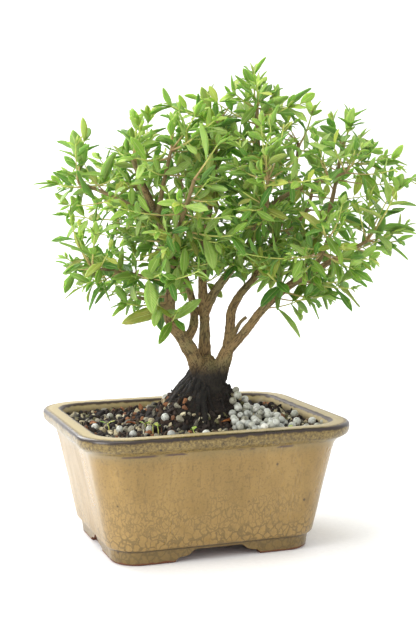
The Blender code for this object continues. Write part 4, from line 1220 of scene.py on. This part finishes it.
def leaf_solid(name, arch, wave, seed):
    """A leaf of length 1 and width 1, closed, with its upper and lower face apart in the UV map."""
    bm = bmesh.new()
    uv = bm.loops.layers.uv.new("leaf")
    twist = random.Random(seed).uniform(-0.25, 0.25)
    rings = []
    for t, half in LEAF_STATIONS:
        ring = []
        for side, face in SECTION:
            lift = -arch * t * t + abs(side) ** 1.3 * 0.24 * 0.5 * MEAN_SLENDERNESS * half
            ripple = wave * math.sin(9 * t + 2 * side) * abs(side) * half * 0.03
            lean = side * half * 0.5 * MEAN_SLENDERNESS * twist * t
            thick = {1: 0.011, 0: 0.0, -1: -(0.012 if side else 0.024)}[face]
            ring.append(bm.verts.new((t, side * half * 0.5, lift + ripple + lean + thick)))
        rings.append(ring)
    rings.append([bm.verts.new((1.0, 0.0, -arch))] * len(SECTION))
    shares = [t for t, _ in LEAF_STATIONS] + [1.0]
    for low, high, near, far in zip(shares, shares[1:], rings, rings[1:]):
        for i in range(len(SECTION)):
            j = (i + 1) % len(SECTION)
            corners = [(near[i], low, i), (near[j], low, j), (far[j], high, j), (far[i], high, i)]
            if high == 1.0:
                corners[2:] = [(far[i], high, 2)]  # at the point, on the midrib
            face = bm.faces.new([corner for corner, _, _ in corners])
            for loop, (_, t, k) in zip(face.loops, corners):
                loop[uv].uv = (t + (0.0 if i < 4 else 1.0), 0.5 + 0.5 * SECTION[k][0])
    bm.faces.new(list(reversed(rings[0])))
    bmesh.ops.recalc_face_normals(bm, faces=bm.faces)
    made = object_from(bm, name)
    made.data.shade_smooth()
    return made


leaf_solids = [leaf_solid(f"leaf_{i}", ARCHES[i % 4], WAVES[i // 4], i) for i in range(8)]
leaf_set = hidden_collection("leaf_shapes", leaf_solids)

# %% [markdown]
# ## Leaves at their places
#
# The layout above gives each leaf a place, a turn, a size and an age. These become attributes on a
# cloud of points, and a second Geometry Nodes tree puts a leaf on each point. It stores with each leaf a
# number that is partly its age and partly painted light. One material then paints young leaves, and
# those outside and high on the crown, pale yellow-green. It paints old leaves, and those inside and low
# down, dark as painted shade.

# %% A tree that puts a leaf on each point
put, source = new_tree("leaves_on_points", [("Shapes", "Collection"), ("Seed", "Int")])
LEAF_MARKS = {"turn": "FLOAT_VECTOR", "size": "FLOAT_VECTOR", "shape": "INT", "youth": "FLOAT"}
turned, sized, shaped, aged_and_lit = (add(put, "GeometryNodeInputNamedAttribute", {"data_type": kind, "Name": name}, 0)
                               for name, kind in LEAF_MARKS.items())
rotation = add(put, "FunctionNodeEulerToRotation", {0: turned}, 0)
placed = shapes_on(put, source, {"Points": source["Geometry"], "Instance Index": shaped, "Rotation": rotation,
                                 "Scale": sized})
chance = add(put, "FunctionNodeRandomValue", {"data_type": "FLOAT", 2: 0.0, 3: 1.0, "Seed": source["Seed"]}, 1)
close_tree(put, source, marked(put, marked(put, placed, "youth", aged_and_lit), "chance", chance))

# %% The leaf's material
leaf_finish, tree, shader, place = new_material("living_serissa_leaf")
parts = add(tree, "ShaderNodeSeparateXYZ", {0: add(tree, "ShaderNodeUVMap", {"uv_map": "leaf"}, "UV")}).outputs
youth, chance = (add(tree, "ShaderNodeAttribute", {"attribute_name": name}, "Fac") for name in ("youth", "chance"))
# Low values are old leaves and painted shade inside the crown. High values are young leaves and painted light on the
# crown's outside and top.
green = ramp(tree, youth, [(0.0, "3C5F1E"), (0.35, "6E9230"), (0.65, "A2BE46"), (0.85, "CBDC78"), (1.0, "E4EBA8")])
shift = ramp(tree, chance, [(0.0, "8CA646"), (0.3, "C2D87C"), (0.58, "3F7434"), (0.84, "B5A850"), (0.95, "DCC872")],
             "CONSTANT")
patches = add(tree, "ShaderNodeTexNoise", {"Scale": 260.0, "Detail": 3.0, "Vector": place}, "Fac")
# Paler midrib, about 0.5 mm wide, and faint side veins 1.6 mm apart.
off_rib = off(tree, parts["Y"], 0.5)
slanted = add(tree, "ShaderNodeMath", {"operation": "MULTIPLY_ADD", 0: off_rib, 1: -0.55, 2: parts["X"]}, 0)
waves = add(tree, "ShaderNodeMath", {"operation": "MULTIPLY", 0: slanted, 1: 75.0}, 0)
waves = add(tree, "ShaderNodeMath", {"operation": "SINE", 0: waves}, 0)
green = overlay(
    tree, green,
    (0.42, shift),
    (band(tree, patches, 0.35, 0.7, 0.0, 0.25), "5F8A26"),
    (band(tree, off_rib, 0.01, 0.06, 0.4, 0.0), "BFD27C"),
    (band(tree, waves, 0.75, 1.0, 0.0, 0.12), "A6C05E"),
    (band(tree, parts["X"], 0.999, 1.001, 0.0, 0.35), "7FA35A"),  # the lower face
)
rough = band(tree, parts["X"], 0.999, 1.001, 0.48, 0.7)
bump = add(tree, "ShaderNodeBump", {"Strength": 0.35, "Distance": 0.0002, "Height": waves}, "Normal")
feed(tree, shader, {"Base Color": green, "Roughness": rough, "Normal": bump, "IOR": 1.45, "Specular IOR Level": 0.3,
                    "Subsurface Weight": 0.5, "Subsurface Radius": (0.6, 1.0, 0.2), "Subsurface Scale": 0.0012})
print("leaf material has", len(tree.nodes), "nodes")

# %% Putting the leaves on
leaf_draw = random.Random(77)


def age_and_light_of(place, number):
    """How pale a leaf is painted: partly its age, as new growth stands outside and high, and partly painted light,
    with painted shade inside the crown and low down.
    """
    tip = place.translation - CROWN_CENTRE
    reach = crown_reach(tip)
    outness = min(1.0, math.hypot(tip.x / reach, tip.z / reach, tip.y / CROWN_DEPTH))
    # How far out and how high a leaf stands gives both its age and painted light. The pair number is its age alone.
    value = 0.05 + 0.55 * outness ** 1.6 + 0.16 * max(-1.0, min(1.0, tip.z / 60)) - 0.07 * max(0, number)
    return max(0.0, min(1.0, value + leaf_draw.uniform(-0.14, 0.14) + (0.25 if number < 0 else 0)))


def put_leaves(name, leaves, thickness=1.0):
    """One piece of leaves from their (place, length, width, arch, pair number)."""
    mesh = bpy.data.meshes.new(name)
    mesh.from_pydata([TREE_TO_WORLD @ place.translation for place, *_ in leaves], [], [])
    for key, kind in LEAF_MARKS.items():
        mesh.attributes.new(key, kind, "POINT")
    for i, (place, length, width, arch, number) in enumerate(leaves):
        nearest = min(range(4), key=lambda k: abs(ARCHES[k] - arch))
        values = {"turn": (TREE_TO_WORLD @ place).to_3x3().normalized().to_euler(),
                  "size": Vector((length, width, length * thickness)) * MM,
                  "shape": nearest + 4 * leaf_draw.randint(0, 1), "youth": age_and_light_of(place, number)}
        for key, value in values.items():
            setattr(mesh.attributes[key].data[i], "vector" if key in ("turn", "size") else "value", value)
    return run_tree(stand(name, mesh), put, {"Shapes": leaf_set, "Seed": 4, "Finish": leaf_finish})


shorter = []
for place, length, width, arch, number in main_leaves:
    share = fill_draw.uniform(0.62, 0.96)
    shorter.append((place, share * length, (0.28 + 0.76 * share) * width, arch, number))
half = len(fill_leaves) // 2
shoot_nodes = [name for name in NODES if name.startswith("leafy_shoot")]
for name, leaves, replaced in (("leaves", shorter, shoot_nodes), ("upper_small_leaves", fill_leaves[:half], ()),
                               ("lower_small_leaves", fill_leaves[half:], ()), ("tuft_leaves", tuft_leaves, ())):
    finish_piece(put_leaves(name, leaves), name, replaced)

# %% [markdown]
# ## Seedlings and fallen leaves
#
# Small weeds with two round seed leaves have come up in the mix, and a few dry, curled leaves lie on
# it. They reuse the leaf shapes at other proportions. The seedlings take the living leaf's finish, and
# the dry leaves get one of their own.

# %% Seedlings and fallen leaves
seed_leaves, seed_stems, fallen = [], [], []
seed_draw = random.Random(12)
for x, y in ((-20, -36), (-17, -40), (-24, -31), (2, -44), (-44, -26), (52, -36)):
    foot = ground(in_world(x, y)).z / MM
    top = Vector((x + seed_draw.uniform(-1, 1), y + seed_draw.uniform(-1, 1), foot + seed_draw.uniform(3.5, 6)))
    seed_stems.append([(x, y, foot - 1, 0.35), (x, y, (foot + top.z) / 2, 0.3), (*top, 0.25)])
    spin = seed_draw.uniform(0, math.pi)
    for mate in range(2):
        out = Vector((math.cos(spin + mate * math.pi), math.sin(spin + mate * math.pi), 0.35))
        size = seed_draw.uniform(3.2, 4.6)
        seed_leaves.append((leaf_place(top, out, UP, 0.0), size, size * 0.62, 0.02, -1))
finish_piece(put_leaves("seedlings", seed_leaves), "seedlings")
finish_piece(swept("seedling_stems", seed_stems, 6, 1.0, 0.1, twig_bark), "seedling_stems")

dry, tree, shader, place = new_material("dried_leaf")
across = add(tree, "ShaderNodeSeparateXYZ", {0: add(tree, "ShaderNodeUVMap", {"uv_map": "leaf"}, "UV")}, "Y")
colour = ramp(tree, across, [(0.0, "7A3F1C"), (0.4, "A8622C"), (0.5, "D09A58"), (0.6, "A8622C"), (1.0, "6A3518")])
feed(tree, shader, {"Base Color": colour, "Roughness": 0.7})
for x, y, spin, size in ((16, -22, 0.5, 11), (-30, -18, 2.2, 9), (-56, -10, 1.1, 10), (44, 22, 4.0, 9)):
    spot = TREE_TO_WORLD.inverted() @ (ground(in_world(x, y)) + Vector((0, 0, 0.0016)))
    heading = Vector((math.cos(spin), math.sin(spin), 0.12))
    fallen.append((leaf_place(spot, heading, Vector((0.1, 0, 1)), 0.3), size, size * 0.34, 0.17, 0))
fallen_piece = put_leaves("fallen_leaves", fallen, 1.6)
give(fallen_piece, dry)
finish_piece(fallen_piece, "fallen_leaves")

# %% [markdown]
# ## The drain mesh
#
# Two squares of black polyethylene mesh lie over the drain holes under the soil. They are moulded
# plastic with a satin skin, and only the view from below shows them.

# %% The drain mesh
plastic, tree, shader, place = new_material("black_polyethylene")
grain = add(tree, "ShaderNodeTexNoise", {"Scale": 1800.0, "Vector": place}, "Fac")
feed(tree, shader, {"Base Color": ramp(tree, grain, [(0.3, "101010"), (0.7, "1E1E1D")]), "Roughness": 0.45})
for name in ("drain_mesh_left", "drain_mesh_right"):
    give(NODES[name], plastic)
print("drain meshes finished")

# %% [markdown]
# ## Studio
#
# The photograph is high-key: a white sweep, a large soft light from the upper left, and so much fill
# that the leaves glow. The floor curves up into the backdrop, so that there is no horizon.

# %% The floor, lights and camera
CAMERA_YAW, CAMERA_PITCH = math.radians(19.785), math.radians(5.432)
SWEEP_BEND, SWEEP_REACH = 0.8, 4.0
paper, tree, shader, place = new_material("white_paper_sweep")
fibre = add(tree, "ShaderNodeTexNoise", {"Scale": 400.0, "Vector": place}, "Fac")
feed(tree, shader, {"Base Color": ramp(tree, fibre, [(0.3, "F8F8F7"), (0.7, "FDFDFC")]), "Roughness": 0.8})
bend = [math.radians(10 * step) for step in range(1, 10)]
side_profile = [(-SWEEP_REACH, 0.0), (SWEEP_BEND, 0.0)] + [
    (SWEEP_BEND + SWEEP_BEND * math.sin(a), SWEEP_BEND - SWEEP_BEND * math.cos(a)) for a in bend
] + [(2 * SWEEP_BEND, 3.5)]
bm = bmesh.new()
rows = [[bm.verts.new((x, y, z)) for x in (-SWEEP_REACH, SWEEP_REACH)] for y, z in side_profile]
for near, far in zip(rows, rows[1:]):
    bm.faces.new((near[0], near[1], far[1], far[0]))
floor = object_from(bm, "sweep", Matrix.Rotation(-CAMERA_YAW, 4, "Z") @ Matrix.Translation((0, 0, -0.0002)))
give(floor, paper)
floor.data.shade_smooth()
# Area lights that face the crown: place and size in metres, power in watts.
for name, spot, size, power in (("key", (-1.2, -0.35, 0.8), 0.8, 11.5), ("top", (-0.2, -0.1, 1.5), 1.0, 7.0),
                                ("back", (-0.5, 1.1, 0.9), 0.9, 12.0)):
    light = bpy.data.lights.new(name, "AREA")
    light.shape, light.size, light.energy = "DISK", size, power
    lamp = stand(name, light)
    lamp.location = spot
    lamp.rotation_euler = (Vector((0, 0, 0.13)) - Vector(spot)).to_track_quat("-Z", "Y").to_euler()
studio = bpy.data.worlds.new("studio")
studio.use_nodes = True
feed(studio.node_tree, studio.node_tree.nodes["Background"], {"Color": "FFFFFF", "Strength": 1.0})
lens = bpy.data.cameras.new("camera")
lens.lens, lens.sensor_width = 68.99, 36.0
camera = stand("camera", lens)
camera.location = POT_CENTRE + Vector((-0.2136, -0.6201, 0.1887))
camera.rotation_euler = (math.pi / 2 - CAMERA_PITCH, 0, -CAMERA_YAW)
scene = bpy.context.scene
scene.world, scene.camera = studio, camera
scene.view_settings.view_transform = "Standard"
print("camera at", [round(value, 3) for value in camera.location])
